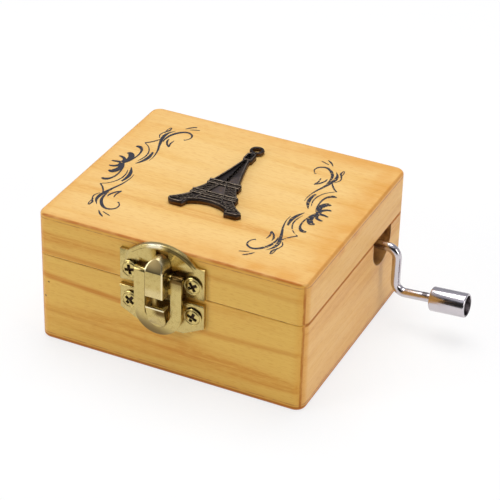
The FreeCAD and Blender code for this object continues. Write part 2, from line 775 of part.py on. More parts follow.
hook = new_body("latch_hook", **FRONT)
HOOK_FOOT = "(hook_pivot_z - hook_foot_drop)"
HOOK_SHOULDER = "(seam_height + hook_shoulder_rise)"
HOOK_NOSE = "(seam_height + hook_nose_rise)"
NOSE_RISE = "(hook_nose_rise - hook_shoulder_rise)"
NOSE_MIDDLE = "(((hook_width / 2)^2 - %s^2) / hook_width)" % NOSE_RISE
NOSE_BACK = "(sheet + side_gap)"
outline = sketch_on(hook, "XZ_Plane", NOSE_BACK)
path(outline, [
    ("-hook_width / 2", HOOK_FOOT),
    ("hook_width / 2", HOOK_FOOT),
    ("hook_width / 2", HOOK_SHOULDER),
    (0, HOOK_NOSE, NOSE_MIDDLE, HOOK_SHOULDER, 1),
    ("-hook_width / 2", HOOK_SHOULDER, "-" + NOSE_MIDDLE, HOOK_SHOULDER, 1),
])
pad(hook, outline, "hook_front - " + NOSE_BACK)
relief = sketch_on(hook, "YZ_Plane")
path(relief, [
    ("-hook_front", HOOK_SHOULDER),
    ("-hook_nose_front", HOOK_NOSE),
    ("-hook_nose_front", HOOK_NOSE + " + sheet"),
    ("-hook_front - sheet", HOOK_NOSE + " + sheet"),
    ("-hook_front - sheet", HOOK_SHOULDER),
])
rectangle(relief, "-hook_back", HOOK_FOOT + " - sheet", 0, HOOK_SHOULDER)
pocket(hook, relief, "hook_width + 2 * sheet", middle=True)
channel = sketch_on(hook, "XZ_Plane", NOSE_BACK)
rectangle(channel, "hook_sheet - hook_width / 2", HOOK_FOOT + " - sheet",
          "hook_width / 2 - hook_sheet", HOOK_SHOULDER + " - hook_sheet")
pocket(hook, channel, "hook_front - hook_sheet - " + NOSE_BACK, back=True)
bore = sketch_on(hook, "YZ_Plane")
circle(bore, *HOOK_PIVOT, "latch_pin_radius + running_clearance")
pocket(hook, bore, "hook_width + 2 * sheet", middle=True)
soften(hook, "Fillet", "hook_sheet * 0.5",
       lambda middle, edge: near(-middle.y, "hook_front") and middle.z < number(HOOK_SHOULDER) - 0.2)
keep("latch_hook", hook)

ALONG_X = {"axis": (0, 1, 0), "angle": 90}
rivet = rod("latch_rivet_piece", "latch_pin_radius", "lever_width / 2 - ear_outer + ear_sheet")
copies("lever_rivets", rivet, [
    dict(x="latch_offset " + start, y="-half_depth - lever_pivot_y", z="lever_pivot_z", **ALONG_X)
    for start in ("- lever_width / 2", "+ ear_outer - ear_sheet")])
keep("hook_pin", rod("hook_pin", "latch_pin_radius", "2 * ear_outer", x="latch_offset - ear_outer",
                     y="-half_depth - lever_pivot_y", z="hook_pivot_z", **ALONG_X))

# ---------------------------------------------------------------- hinges
MIDDLE_KNUCKLE = "(hinge_width / 6)"
LEAF_START = "(hinge_sheet / 2)"
KNUCKLE_RELIEF = "sqrt((barrel_radius + side_gap)^2 - (barrel_offset - hinge_sheet)^2)"


def hinge_leaf(name, centre, up, knuckles, top, bore_radius):
    """One leaf on the back of the case. up is 1 on the lid and -1 on the base."""
    body = new_body(name, x=centre, y="half_depth", z="seam_height")
    sketch = sketch_on(body, "XZ_Plane")
    path(sketch, [(x, "%d * %s" % (up, z)) for x, z in top] + [
        ("hinge_width / 2", "%d * hinge_leaf_height" % up),
        ("-hinge_width / 2", "%d * hinge_leaf_height" % up),
    ])
    pad(body, sketch, "hinge_sheet", back=True)
    for start, length in knuckles:
        barrel = sketch_on(body, "YZ_Plane", start)
        circle(barrel, "barrel_offset", 0, "barrel_radius")
        pad(body, barrel, length)
    bore = sketch_on(body, "YZ_Plane")
    circle(bore, "barrel_offset", 0, bore_radius)
    pocket(body, bore, "hinge_width + 2 * side_gap", middle=True)
    drill(body, "XZ_Plane", 0,
          [("-hinge_screw_spacing / 2", "%d * hinge_screw_height" % up),
           ("hinge_screw_spacing / 2", "%d * hinge_screw_height" % up)],
          NAIL_PILOT, "hinge_sheet")
    soften(body, "Fillet", "hinge_sheet",
           lambda middle, edge: near(abs(middle.x), "hinge_width / 2")
           and near(abs(middle.z), "hinge_leaf_height") and near(middle.y, "hinge_sheet / 2"))
    return keep(name, body)


OUTER_KNUCKLES = [("-hinge_width / 2", "hinge_width / 3 - side_gap"),
                  (MIDDLE_KNUCKLE + " + side_gap", "hinge_width / 3 - side_gap")]
for side, centre in (("left", "-hinge_x"), ("right", "hinge_x")):
    gap = "(%s + side_gap)" % MIDDLE_KNUCKLE
    hinge_leaf(side + "_hinge_base_leaf", centre, -1, OUTER_KNUCKLES, [
        ("-hinge_width / 2", LEAF_START), ("-" + gap, LEAF_START), ("-" + gap, KNUCKLE_RELIEF),
        (gap, KNUCKLE_RELIEF), (gap, LEAF_START), ("hinge_width / 2", LEAF_START),
    ], "hinge_pin_radius")
    hinge_leaf(side + "_hinge_lid_leaf", centre, 1, [("-" + MIDDLE_KNUCKLE, "hinge_width / 3")], [
        ("-hinge_width / 2", KNUCKLE_RELIEF), ("-" + MIDDLE_KNUCKLE, KNUCKLE_RELIEF),
        ("-" + MIDDLE_KNUCKLE, LEAF_START), (MIDDLE_KNUCKLE, LEAF_START),
        (MIDDLE_KNUCKLE, KNUCKLE_RELIEF), ("hinge_width / 2", KNUCKLE_RELIEF),
    ], "hinge_pin_radius + running_clearance")
    pin = rod(side + "_hinge_pin", "hinge_pin_radius", "hinge_width",
              x=centre + " - hinge_width / 2", y="half_depth + barrel_offset", z="seam_height", **ALONG_X)
    keep(side + "_hinge_pin", pin)

# ---------------------------------------------------------------- tower charm
charm = new_body("tower_charm", x="charm_offset", y="charm_foot_y", z="box_height",
                 axis=(0, 0, 1), angle="charm_turn")
FOOT = "charm_foot_width / 2"
LEG = "charm_leg_gap / 2"
ARCH_SPRING = "(charm_arch_rise * 0.42)"
ARCH_RISE = "(charm_arch_rise - %s)" % ARCH_SPRING
ARCH_CENTRE = "(charm_arch_rise - ((%s)^2 + %s^2) / (2 * %s))" % (LEG, ARCH_RISE, ARCH_RISE)
STEM = "(charm_neck_width * 0.35)"


def bowed(start, finish, bow):
    """Centre of an arc that bows from its chord by a share of the chord."""
    (x0, y0), (x1, y1) = start, finish
    lean = "((1 - 4 * %g^2) / (8 * %g))" % (bow, bow)
    middle_x = "((%s) + (%s)) / 2 - ((%s) - (%s)) * %s" % (x0, x1, y1, y0, lean)
    middle_y = "((%s) + (%s)) / 2 + ((%s) - (%s)) * %s" % (y0, y1, x1, x0, lean)
    return middle_x, middle_y


TOWER_TIERS = (
    (("charm_foot_width / 2", "charm_band * 1.2"),
     ("charm_deck_width / 2 - charm_band / 2", "charm_deck_rise - charm_deck_height / 2"), 0.05),
    (("charm_deck_width / 2 - charm_band / 3", "charm_deck_rise + charm_deck_height / 2"),
     ("charm_upper_deck_width / 2 - charm_band / 3",
      "charm_upper_deck_rise - charm_deck_height / 2"), 0.05),
    (("charm_upper_deck_width / 2 - charm_band * 0.8",
      "charm_upper_deck_rise + charm_deck_height / 2"),
     ("charm_neck_width / 2", "charm_neck_rise - charm_neck_height / 2"), 0.012),
)
BANDS = (
    ("charm_deck_width / 2", "charm_deck_rise", "charm_deck_height / 2"),
    ("charm_upper_deck_width / 2", "charm_upper_deck_rise", "charm_deck_height / 2"),
    ("charm_neck_width / 2 + charm_band / 2", "charm_neck_rise", "charm_neck_height / 2"),
)


def mirrored(corner):
    return ("-(%s)" % corner[0], corner[1])


right_side = []
left_side = []
for (low, high, bow), (reach, rise, half_height) in zip(TOWER_TIERS, BANDS):
    band = [(reach, rise + " - " + half_height), (reach, rise + " + " + half_height)]
    right_side += [low, high + bowed(low, high, -bow) + (-1,)] + band
    inward = bowed(mirrored(high), mirrored(low), -bow)
    left_side = [mirrored(corner) for corner in reversed(band)] + [
        mirrored(high), mirrored(low) + inward + (-1,)] + left_side
stem = [(STEM, "charm_neck_rise + charm_neck_height / 2"), (STEM, "charm_ring_rise")]
outline = sketch_on(charm, "XY_Plane")
path(outline, [
    ("-(%s) + charm_band" % FOOT, 0),
    ("-" + LEG, 0),
    ("-" + LEG, ARCH_SPRING),
    (LEG, ARCH_SPRING, 0, ARCH_CENTRE, -1),
    (LEG, 0),
    (FOOT + " - charm_band", 0),
] + right_side + stem + [mirrored(corner) for corner in reversed(stem)] + left_side)
pad(charm, outline, "charm_thickness - charm_relief")
ring = sketch_on(charm, "XY_Plane")
circle(ring, 0, "charm_ring_rise", "charm_ring_radius")
pad(charm, ring, "charm_thickness - charm_relief")
bands = sketch_on(charm, "XY_Plane", "charm_thickness - charm_relief")
for reach, rise, half_height in BANDS:
    rectangle(bands, "-(%s)" % reach, rise + " - " + half_height,
              reach, rise + " + " + half_height)
pad(charm, bands, "charm_relief")
drill(charm, "XY_Plane", 0, [(0, "charm_ring_rise")],
      "charm_ring_hole_radius", "charm_thickness", back=True)
keep("tower_charm", charm)

# ---------------------------------------------------------------- crank
CRANK_AXIS = {"y": "crank_offset", "z": "crank_height"}
HANDLE_TURN = {"axis": (0, 1, 0), "angle": "90 - handle_lift"}
crank = new_body("crank_wire", **CRANK_AXIS)
route = sketch_on(crank, "XZ_Plane")
BEND_LOW = "bend_radius * cos(handle_lift) - crank_drop"
WIRE_RUN = "washer_run + washer_thickness + wire_end"
path(route, [
    ("wire_start", 0),
    ("crank_reach - bend_radius", 0),
    ("crank_reach", "-bend_radius", "crank_reach - bend_radius", "-bend_radius", -1),
    ("crank_reach", BEND_LOW),
    ("handle_x", "-crank_drop", "crank_reach + bend_radius", BEND_LOW, 1),
    ("handle_x + (%s) * cos(handle_lift)" % WIRE_RUN,
     "(%s) * sin(handle_lift) - crank_drop" % WIRE_RUN),
], closed=False)
section = sketch_on(crank, "YZ_Plane", "wire_start")
circle(section, 0, 0, "wire_radius")
doc.recompute()
wire = crank.newObject("PartDesign::AdditivePipe", "crank_wire_pipe")
wire.Profile = section
wire.Spine = route
doc.recompute()
keep("crank_wire", crank)

washer_disc = rod("washer_disc", "washer_radius", "washer_thickness")
washer_hole = rod("washer_hole", "wire_radius", "washer_thickness")
washer = doc.addObject("Part::Cut", "knob_washer_ring")
washer.Base = washer_disc
washer.Tool = washer_hole
locate(washer, x="handle_x + washer_run * cos(handle_lift)", y="crank_offset",
       z="crank_height - crank_drop + washer_run * sin(handle_lift)", **HANDLE_TURN)
keep("knob_washer", washer)

knob = new_body("crank_knob", x="knob_x", y="crank_offset", z="knob_z",
                axis=(0, 1, 0), angle="-handle_lift")
turned = sketch_on(knob, "XZ_Plane")
path(turned, [
    (0, "wire_radius + running_clearance"),
    ("knob_floor", "wire_radius + running_clearance"),
    ("knob_floor", "knob_radius - knob_wall"),
    ("knob_length", "knob_radius - knob_wall"),
    ("knob_length", "knob_radius - knob_bevel"),
    ("knob_length - knob_bevel", "knob_radius"),
    ("knob_bevel", "knob_radius"),
    (0, "knob_radius - knob_bevel"),
])
revolve(knob, turned, "H_Axis")
keep("crank_knob", knob)

# ---------------------------------------------------------------- worm and wheel
worm = new_body("worm", x="cylinder_offset", axis=(0, 1, 0), angle=90, **CRANK_AXIS)
WORM_ROOT = "(worm_pitch_radius - tooth_dedendum)"
blank = sketch_on(worm, "XY_Plane")
circle(blank, 0, 0, WORM_ROOT)
circle(blank, 0, 0, "wire_radius")
pad(worm, blank, "2 * (cheek_inner - side_gap)", middle=True)
thread = sketch_on(worm, "XZ_Plane")
THREAD_START = "-floor(worm_turns / 2) * tooth_pitch"
THREAD_FOOT = "(%s - wire_radius) / 2" % WORM_ROOT
FOOT_HALF = "(tooth_share * tooth_pitch / 2 + (tooth_dedendum + %s) * tan(flank_angle))" % THREAD_FOOT
CREST_HALF = "(tooth_share * tooth_pitch / 2 - tooth_addendum * tan(flank_angle))"
path(thread, [
    (WORM_ROOT + " - " + THREAD_FOOT, THREAD_START + " - " + FOOT_HALF),
    ("worm_pitch_radius + tooth_addendum", THREAD_START + " - " + CREST_HALF),
    ("worm_pitch_radius + tooth_addendum", THREAD_START + " + " + CREST_HALF),
    (WORM_ROOT + " - " + THREAD_FOOT, THREAD_START + " + " + FOOT_HALF),
])
doc.recompute()
helix = worm.newObject("PartDesign::AdditiveHelix", "worm_thread")
helix.Profile = thread
helix.ReferenceAxis = (thread, ["V_Axis"])
helix.Mode = "pitch-turns-angle"
helix.setExpression("Pitch", linked("tooth_pitch"))
helix.setExpression("Turns", linked("worm_turns"))
doc.recompute()
keep("worm", worm)

wheel = new_body("worm_wheel", x="cylinder_offset", y="crank_offset", z="cylinder_z",
                 axis=(1, 0, 0), angle=-90)
disc = sketch_on(wheel, "XY_Plane")
circle(disc, 0, 0, "pitch_radius + tooth_addendum")
circle(disc, 0, 0, "arbor_radius")
pad(wheel, disc, "wheel_face", middle=True)
hub = sketch_on(wheel, "XY_Plane")
circle(hub, 0, 0, "wheel_hub_radius")
circle(hub, 0, 0, "arbor_radius")
pad(wheel, hub, "wheel_face / 2 + wheel_hub_length", back=True)
gap = sketch_on(wheel, "XY_Plane", "wheel_face / 2")
GAP_HALF = "(1 - tooth_share) * tooth_pitch / 2"
GAP_MOUTH = "tooth_addendum + side_gap"
mouth_half = "(%s + (%s) * tan(flank_angle))" % (GAP_HALF, GAP_MOUTH)
root_half = "(%s - tooth_dedendum * tan(flank_angle))" % GAP_HALF
path(gap, [
    ("-" + mouth_half, "-(pitch_radius + %s)" % GAP_MOUTH),
    (mouth_half, "-(pitch_radius + %s)" % GAP_MOUTH),
    (root_half, "tooth_dedendum - pitch_radius"),
    ("-" + root_half, "tooth_dedendum - pitch_radius"),
])
cut = pocket(wheel, gap, "wheel_face")
teeth = wheel.newObject("PartDesign::PolarPattern", "worm_wheel_teeth")
teeth.Originals = [cut]
teeth.Axis = ([item for item in wheel.Origin.OriginFeatures if item.Role == "Z_Axis"][0], [""])
teeth.Angle = 360
teeth.setExpression("Occurrences", linked("round(wheel_teeth)"))
wheel.Tip = teeth
doc.recompute()
keep("worm_wheel", wheel)

# ---------------------------------------------------------------- pinned cylinder
DRUM_AXIS = {"x": "cylinder_offset", "z": "cylinder_z"}
ALONG_Y = {"axis": (1, 0, 0), "angle": -90}
drum = new_body("cylinder_drum", **DRUM_AXIS)
shell = sketch_on(drum, "XZ_Plane", "-drum_back")
circle(shell, 0, 0, "drum_radius")
circle(shell, 0, 0, "drum_radius - drum_wall")
pad(drum, shell, "drum_length")
keep("cylinder_drum", drum)

cap_disc = rod("cap_disc", "drum_radius - drum_wall", "cap_thickness")
cap_hole = rod("cap_hole", "arbor_radius", "cap_thickness")
cap = doc.addObject("Part::Cut", "drum_cap_piece")
cap.Base = cap_disc
cap.Tool = cap_hole
copies("cylinder_caps", cap, [
    dict(y="drum_front", **DRUM_AXIS, **ALONG_Y),
    dict(y="drum_back - cap_thickness", **DRUM_AXIS, **ALONG_Y),
])
keep("cylinder_arbor", rod("cylinder_arbor", "arbor_radius", "arbor_back - arbor_front",
                           y="arbor_front", **DRUM_AXIS, **ALONG_Y))

# Tune pins: one ring of four pins under each comb tooth, each ring turned on from the last.
PINS_PER_TOOTH = 4
RING_TURN = 137.5
PIN_SKEW = 11
comb_count = int(number("round(comb_teeth)"))
pins = []
for tooth in range(comb_count):
    along = number("comb_middle - comb_width / 2 + comb_pitch * %g" % (tooth + 0.5))
    for note in range(PINS_PER_TOOTH):
        angle = tooth * RING_TURN + note * 360 / PINS_PER_TOOTH + PIN_SKEW * ((tooth * note) % 5)
        pin = Part.makeBox(number("pin_thickness"), number("pin_thickness"), number("pin_rise + pin_root"))
        pin.translate(FreeCAD.Vector(-number("pin_thickness / 2"), along - number("pin_thickness / 2"),
                                     number("drum_radius - pin_root")))
        pin.rotate(FreeCAD.Vector(), FreeCAD.Vector(0, 1, 0), angle)
        pins.append(pin)
tune = doc.addObject("Part::Feature", "tune_pins")
tune.Shape = Part.makeCompound(pins)
locate(tune, **DRUM_AXIS)
keep("tune_pins", tune)

# ---------------------------------------------------------------- comb
comb = new_body("comb", y="comb_middle", z="comb_bottom")
outline = sketch_on(comb, "XY_Plane")
rectangle(outline, "comb_end_x", "-comb_width / 2", "comb_tip_x", "comb_width / 2")
pad(comb, outline, "comb_thickness")
slots = sketch_on(comb, "XY_Plane", "comb_thickness")
for index in range(1, comb_count):
    across = "(comb_pitch * %d - comb_width / 2)" % index
    length = "(bass_tooth + (treble_tooth - bass_tooth) * %d / %d)" % (index, comb_count)
    rectangle(slots, "comb_tip_x - " + length, across + " - comb_slot / 2",
              "comb_tip_x + comb_slot", across + " + comb_slot / 2")
pocket(comb, slots, "comb_thickness")
COMB_SCREWS = [("comb_end_x + comb_land / 2", "-comb_screw_y"),
               ("comb_end_x + comb_land / 2", "comb_screw_y")]
drill(comb, "XY_Plane", "comb_thickness", COMB_SCREWS,
      "machine_shank_radius + running_clearance", "comb_thickness")
keep("comb", comb)
copies("comb_screws", machine_screw, [
    dict(x=x, y="comb_middle + (%s)" % y, z="comb_bottom + comb_thickness") for x, y in COMB_SCREWS])

# ---------------------------------------------------------------- brackets
gear_bracket = new_body("gear_bracket", x="cylinder_offset", z="bed_top")
WEB_BACK = "(web_front + bracket_sheet)"
BRACKET_TOP = "(crank_height + bearing_rim - bed_top)"
bent = sketch_on(gear_bracket, "XY_Plane")
path(bent, [
    ("-cheek_outer", "cheek_front"),
    ("-cheek_inner", "cheek_front"),
    ("-cheek_inner", "web_front"),
    ("cheek_inner", "web_front"),
    ("cheek_inner", "cheek_front"),
    ("cheek_outer", "cheek_front"),
    ("cheek_outer", WEB_BACK),
    ("-cheek_outer", WEB_BACK),
])
pad(gear_bracket, bent, BRACKET_TOP)
lowered = sketch_on(gear_bracket, "XZ_Plane", "side_gap - web_front")
rectangle(lowered, "-cheek_inner", "cylinder_z + bearing_rim - bed_top",
          "cheek_inner", BRACKET_TOP + " + side_gap")
pocket(gear_bracket, lowered, "bracket_sheet + 2 * side_gap")
FEET = (("-cheek_outer - foot_length", "-cheek_outer"), ("cheek_outer", "cheek_outer + foot_length"))
feet = sketch_on(gear_bracket, "XY_Plane")
for left, right in FEET:
    rectangle(feet, left, "cheek_front", right, "web_front")
pad(gear_bracket, feet, "bracket_sheet")
FOOT_MIDDLE = "(cheek_front + web_front) / 2"
FOOT_SCREWS_X = ("-cheek_outer - foot_length / 2", "cheek_outer + foot_length / 2")
drill(gear_bracket, "XY_Plane", "bracket_sheet", [(x, FOOT_MIDDLE) for x in FOOT_SCREWS_X],
      "machine_shank_radius + running_clearance", "bracket_sheet")
crank_bore = sketch_on(gear_bracket, "YZ_Plane")
circle(crank_bore, "crank_offset", "crank_height - bed_top", "wire_radius + running_clearance")
pocket(gear_bracket, crank_bore, "2 * cheek_outer + 2 * side_gap", middle=True)
drill(gear_bracket, "XZ_Plane", "-web_front", [(0, "cylinder_z - bed_top")],
      "arbor_radius + running_clearance", "bracket_sheet")
soften(gear_bracket, "Fillet", "bearing_rim * 0.8",
       lambda middle, edge: near(middle.z, BRACKET_TOP)
       and (near(middle.y, "cheek_front") or near(middle.y, WEB_BACK)))
keep("gear_bracket", gear_bracket)

front_bearing = new_body("front_bearing", x="cylinder_offset", z="bed_top")
plate = sketch_on(front_bearing, "XZ_Plane", "-(front_bearing_y + bracket_sheet)")
path(plate, [
    ("-front_bearing_width / 2", 0),
    ("front_bearing_width / 2", 0),
    ("front_bearing_width / 2", "cylinder_z - bed_top"),
    ("-front_bearing_width / 2", "cylinder_z - bed_top", 0, "cylinder_z - bed_top", 1),
])
pad(front_bearing, plate, "bracket_sheet")
foot = sketch_on(front_bearing, "XY_Plane")
rectangle(foot, "-front_bearing_width / 2", "front_bearing_y - foot_length", "front_bearing_width / 2",
          "front_bearing_y + bracket_sheet")
pad(front_bearing, foot, "bracket_sheet")
drill(front_bearing, "XZ_Plane", "-front_bearing_y", [(0, "cylinder_z - bed_top")],
      "arbor_radius + running_clearance", "bracket_sheet")
drill(front_bearing, "XY_Plane", "bracket_sheet", [(0, "front_bearing_y - foot_length / 2")],
      "machine_shank_radius + running_clearance", "bracket_sheet")
keep("front_bearing", front_bearing)

BRACKET_SCREWS = [("cylinder_offset + (%s)" % x, FOOT_MIDDLE) for x in FOOT_SCREWS_X] + \
    [("cylinder_offset", "front_bearing_y - foot_length / 2")]
copies("bracket_screws", machine_screw, [
    dict(x=x, y=y, z="bed_top + bracket_sheet") for x, y in BRACKET_SCREWS])

# ---------------------------------------------------------------- movement bed
bed = new_body("movement_bed", z="board_thickness")
plan = sketch_on(bed, "XY_Plane")
rectangle(plan, "bed_left", "bed_front", "bed_right", "bed_back")
pad(bed, plan, "bed_thickness")
soften(bed, "Fillet", "bed_corner", lambda middle, edge: near(middle.z, "bed_thickness / 2"))
post = sketch_on(bed, "XY_Plane")
rectangle(post, "comb_end_x", "comb_middle - comb_width / 2",
          "comb_end_x + comb_land", "comb_middle + comb_width / 2")
pad(bed, post, "comb_bottom - board_thickness")
drill(bed, "XY_Plane", "comb_bottom - board_thickness",
      [(x, "comb_middle + (%s)" % y) for x, y in COMB_SCREWS],
      "machine_shank_radius", "machine_length - comb_thickness + side_gap")
drill(bed, "XY_Plane", "bed_thickness", BRACKET_SCREWS,
      "machine_shank_radius", "machine_length - bracket_sheet + side_gap")
drill(bed, "XY_Plane", 0, MOUNT_SPOTS, "mount_shank_radius", "bed_thickness", back=True)
keep("movement_bed", bed)

mount_screw = new_body("mount_screw_piece")
turned = sketch_on(mount_screw, "XZ_Plane")
path(turned, [
    (0, "running_clearance"),
    ("mount_head_radius", "running_clearance"),
    ("mount_shank_radius", "running_clearance + mount_head_radius - mount_shank_radius"),
    ("mount_shank_radius", "bed_top - side_gap"),
    (0, "bed_top - side_gap"),
])
revolve(mount_screw, turned)
copies("mounting_screws", mount_screw, [dict(x=x, y=y) for x, y in MOUNT_SPOTS])

# ---------------------------------------------------------------- check and write
doc.recompute()
for item in doc.Objects:
    if "Invalid" in item.State or "Error" in item.State:
        raise ValueError("%s could not be built" % item.Label)
for name, item in parts.items():
    if item.Shape.isNull() or not item.Shape.isValid():
        raise ValueError("%s has no valid shape" % name)
os.makedirs("parts", exist_ok=True)
for name, item in parts.items():
    item.Shape.exportStep("parts/%s.step" % name)
print("wrote %d sub-parts" % len(parts))
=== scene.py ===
import json
import math
import bmesh
import bpy
from mathutils import Matrix, Vector


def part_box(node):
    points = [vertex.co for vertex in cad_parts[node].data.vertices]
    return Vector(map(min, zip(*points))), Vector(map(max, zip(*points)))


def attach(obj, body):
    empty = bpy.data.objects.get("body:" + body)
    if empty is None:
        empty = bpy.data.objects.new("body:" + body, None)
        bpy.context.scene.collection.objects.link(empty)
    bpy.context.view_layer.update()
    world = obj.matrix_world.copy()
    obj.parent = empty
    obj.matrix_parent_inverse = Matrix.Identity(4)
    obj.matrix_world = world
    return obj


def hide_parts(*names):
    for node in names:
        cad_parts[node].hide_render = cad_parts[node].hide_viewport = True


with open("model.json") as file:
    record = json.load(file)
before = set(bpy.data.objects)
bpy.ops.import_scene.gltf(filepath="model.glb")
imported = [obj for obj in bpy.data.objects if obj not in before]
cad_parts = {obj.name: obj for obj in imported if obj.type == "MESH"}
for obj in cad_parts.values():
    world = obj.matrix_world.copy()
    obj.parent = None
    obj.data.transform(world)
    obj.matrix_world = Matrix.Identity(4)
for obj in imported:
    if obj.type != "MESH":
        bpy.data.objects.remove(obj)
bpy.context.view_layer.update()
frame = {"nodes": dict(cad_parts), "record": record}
nodes = frame["nodes"]
mm = 0.001

bodyOfNode = {}
for bodyName, members in frame["record"]["behaviour"]["bodies"].items():
    for member in members:
        bodyOfNode[member] = bodyName

slotOfNode = {}
for row in frame["record"]["subparts"]:
    slotOfNode[row["node"]] = row["material_slot"]
print("frame loaded:", len(nodes), "nodes")


# arithmetic on a Signal adds the Math nodes of a node tree
class Signal:
    def __init__(self, owner, socket):
        self.owner = owner
        self.socket = socket

    def math(self, operation, *values):
        return self.owner.node("ShaderNodeMath", {"operation": operation}, dict(enumerate(values)))

    def __add__(self, other):
        return self.math("ADD", self, other)

    def __sub__(self, other):
        return self.math("SUBTRACT", self, other)

    def __rsub__(self, other):
        return self.math("SUBTRACT", other, self)

    def __mul__(self, other):
        return self.math("MULTIPLY", self, other)

    def __rmul__(self, other):
        return self.math("MULTIPLY", other, self)

    def __truediv__(self, other):
        return self.math("DIVIDE", self, other)

    def __abs__(self):
        return self.math("ABSOLUTE", self)

    def least(self, other):
        return self.math("MINIMUM", self, other)

    def most(self, other):
        return self.math("MAXIMUM", self, other)

    def power(self, other):
        return self.math("POWER", self, other)

    def diagonal(self, other):
        # how far a point is from where this signal and the other are both zero
        return (self * self + other * other).power(0.5)

    def ramp(self, low, high, start=0.0, finish=1.0):
        # eased step from start to finish while the signal goes from low to high
        return self.owner.node("ShaderNodeMapRange", {"interpolation_type": "SMOOTHSTEP"},
                               {0: self, 1: low, 2: high, 3: start, 4: finish})


class Wiring:
    def __init__(self, tree):
        self.tree = tree

    def node(self, kind, settings=None, sockets=None, output=0):
        made = self.tree.nodes.new(kind)
        for key, value in (settings or {}).items():
            setattr(made, key, value)
        for key, value in (sockets or {}).items():
            given = value if isinstance(value, list) else [value]
            for item in given:
                if isinstance(item, Signal):
                    self.tree.links.new(item.socket, made.inputs[key])
                else:
                    made.inputs[key].default_value = item
        return Signal(self, made.outputs[output]) if made.outputs else None

    def axes(self, point):
        split = self.node("ShaderNodeSeparateXYZ", {}, {0: point})
        outs = split.socket.node.outputs
        return [Signal(self, outs[index]) for index in range(3)]


class Finish(Wiring):
    def __init__(self, name, tree=None, shift=(0, 0, 0)):
        # shift moves the noises, so that each board has a grain of its own
        self.material = None
        self.shift = shift
        if tree is None:
            self.material = bpy.data.materials.new(name)
            self.material.use_nodes = True
            tree = self.material.node_tree
        tree.nodes.clear()
        super().__init__(tree)

    def place(self):
        # a point of the piece in millimetres
        spot = self.node("ShaderNodeTexCoord", output="Object")
        return self.node("ShaderNodeVectorMath", {"operation": "SCALE"}, {0: spot, "Scale": 1000})

    def noise(self, point, stretch, detail=2.0, roughness=0.5, distortion=0.0):
        # stretch is the number of cells in a millimetre, along each axis
        stretched = self.node("ShaderNodeVectorMath", {"operation": "MULTIPLY_ADD"},
                              {0: point, 1: stretch, 2: self.shift})
        return self.node("ShaderNodeTexNoise", {}, {
            "Vector": stretched, "Scale": 1.0, "Detail": detail,
            "Roughness": roughness, "Distortion": distortion})

    def mix(self, factor, first, second, blend="MIX"):
        return self.node("ShaderNodeMix", {"data_type": "RGBA", "blend_type": blend},
                         {0: factor, 6: first, 7: second}, output=2)

    def bump(self, height, strength, distance):
        return self.node("ShaderNodeBump", {}, {
            "Height": height, "Strength": strength, "Distance": distance * mm})

    def surface(self, **sockets):
        named = {key.replace("_", " "): value for key, value in sockets.items()}
        shader = self.node("ShaderNodeBsdfPrincipled", {}, named)
        self.finish(shader)
        return self.material

    def finish(self, shader):
        self.node("ShaderNodeOutputMaterial", {}, {"Surface": shader})


class Recipe(Wiring):
    # a Geometry Nodes tree with one named input for each size
    def __init__(self, name, **sizes):
        super().__init__(bpy.data.node_groups.new(name, "GeometryNodeTree"))
        face = self.tree.interface
        face.new_socket("Geometry", in_out="INPUT", socket_type="NodeSocketGeometry")
        face.new_socket("Geometry", in_out="OUTPUT", socket_type="NodeSocketGeometry")
        self.keys = {}
        for label, value in sizes.items():
            kind = "NodeSocketVector" if isinstance(value, tuple) else "NodeSocketFloat"
            socket = face.new_socket(label, in_out="INPUT", socket_type=kind)
            socket.default_value = value
            self.keys[label] = socket.identifier
        face.new_socket("finish", in_out="INPUT", socket_type="NodeSocketMaterial")
        self.keys["finish"] = face.items_tree[-1].identifier
        self.start = self.tree.nodes.new("NodeGroupInput")

    def size(self, label):
        return Signal(self, self.start.outputs[label])

    def close(self, geometry):
        real = self.node("GeometryNodeRealizeInstances", {}, {0: geometry})
        dressed = self.node("GeometryNodeSetMaterial", {}, {
            "Geometry": real, "Material": self.size("finish")})
        self.node("NodeGroupOutput", {}, {0: dressed})
        return self

    def curve(self, signal, stops):
        # straight runs through (place, value) pairs, both from 0 to 1
        made = self.node("ShaderNodeFloatCurve", {}, {"Value": signal})
        line = made.socket.node.mapping.curves[0]
        while len(line.points) < len(stops):
            line.points.new(0.5, 0.5)
        for point, (place, value) in zip(line.points, stops):
            point.location = (place, value)
            point.handle_type = "VECTOR"
        made.socket.node.mapping.update()
        return made

    def sharpened(self, geometry, degrees):
        # smooth everywhere but across the sharp edges
        smooth = self.node("GeometryNodeSetShadeSmooth", {"domain": "FACE"},
                           {"Geometry": geometry, "Shade Smooth": True})
        turn = self.node("GeometryNodeInputMeshEdgeAngle")
        sharp = self.node("FunctionNodeCompare", {"data_type": "FLOAT", "operation": "GREATER_THAN"},
                          {0: turn, 1: math.radians(degrees)})
        return self.node("GeometryNodeSetShadeSmooth", {"domain": "EDGE"},
                         {"Geometry": smooth, "Selection": sharp, "Shade Smooth": False})

    def attribute(self, name, kind="FLOAT"):
        return self.node("GeometryNodeInputNamedAttribute", {"data_type": kind}, {"Name": name})


def paint(red, green, blue):
    # a screen colour, 0 to 255, as the linear colour the shaders want
    linear = []
    for channel in (red, green, blue):
        share = channel / 255
        linear.append(share / 12.92 if share <= 0.04045 else ((share + 0.055) / 1.055) ** 2.4)
    return (*linear, 1.0)


def boxOf(nodeName):
    # the lowest and the highest corner of a node in millimetres
    return [[value / mm for value in corner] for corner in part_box(nodeName)]


# measures that the stage, the finishes and the pieces share
_, (halfWidth, halfDepth, lidTop) = boxOf("top_board")
seamLevel = boxOf("lid_front_wall")[0][2]
leverLow, leverHigh = boxOf("latch_lever")
latchMiddle = (leverLow[0] + leverHigh[0]) / 2

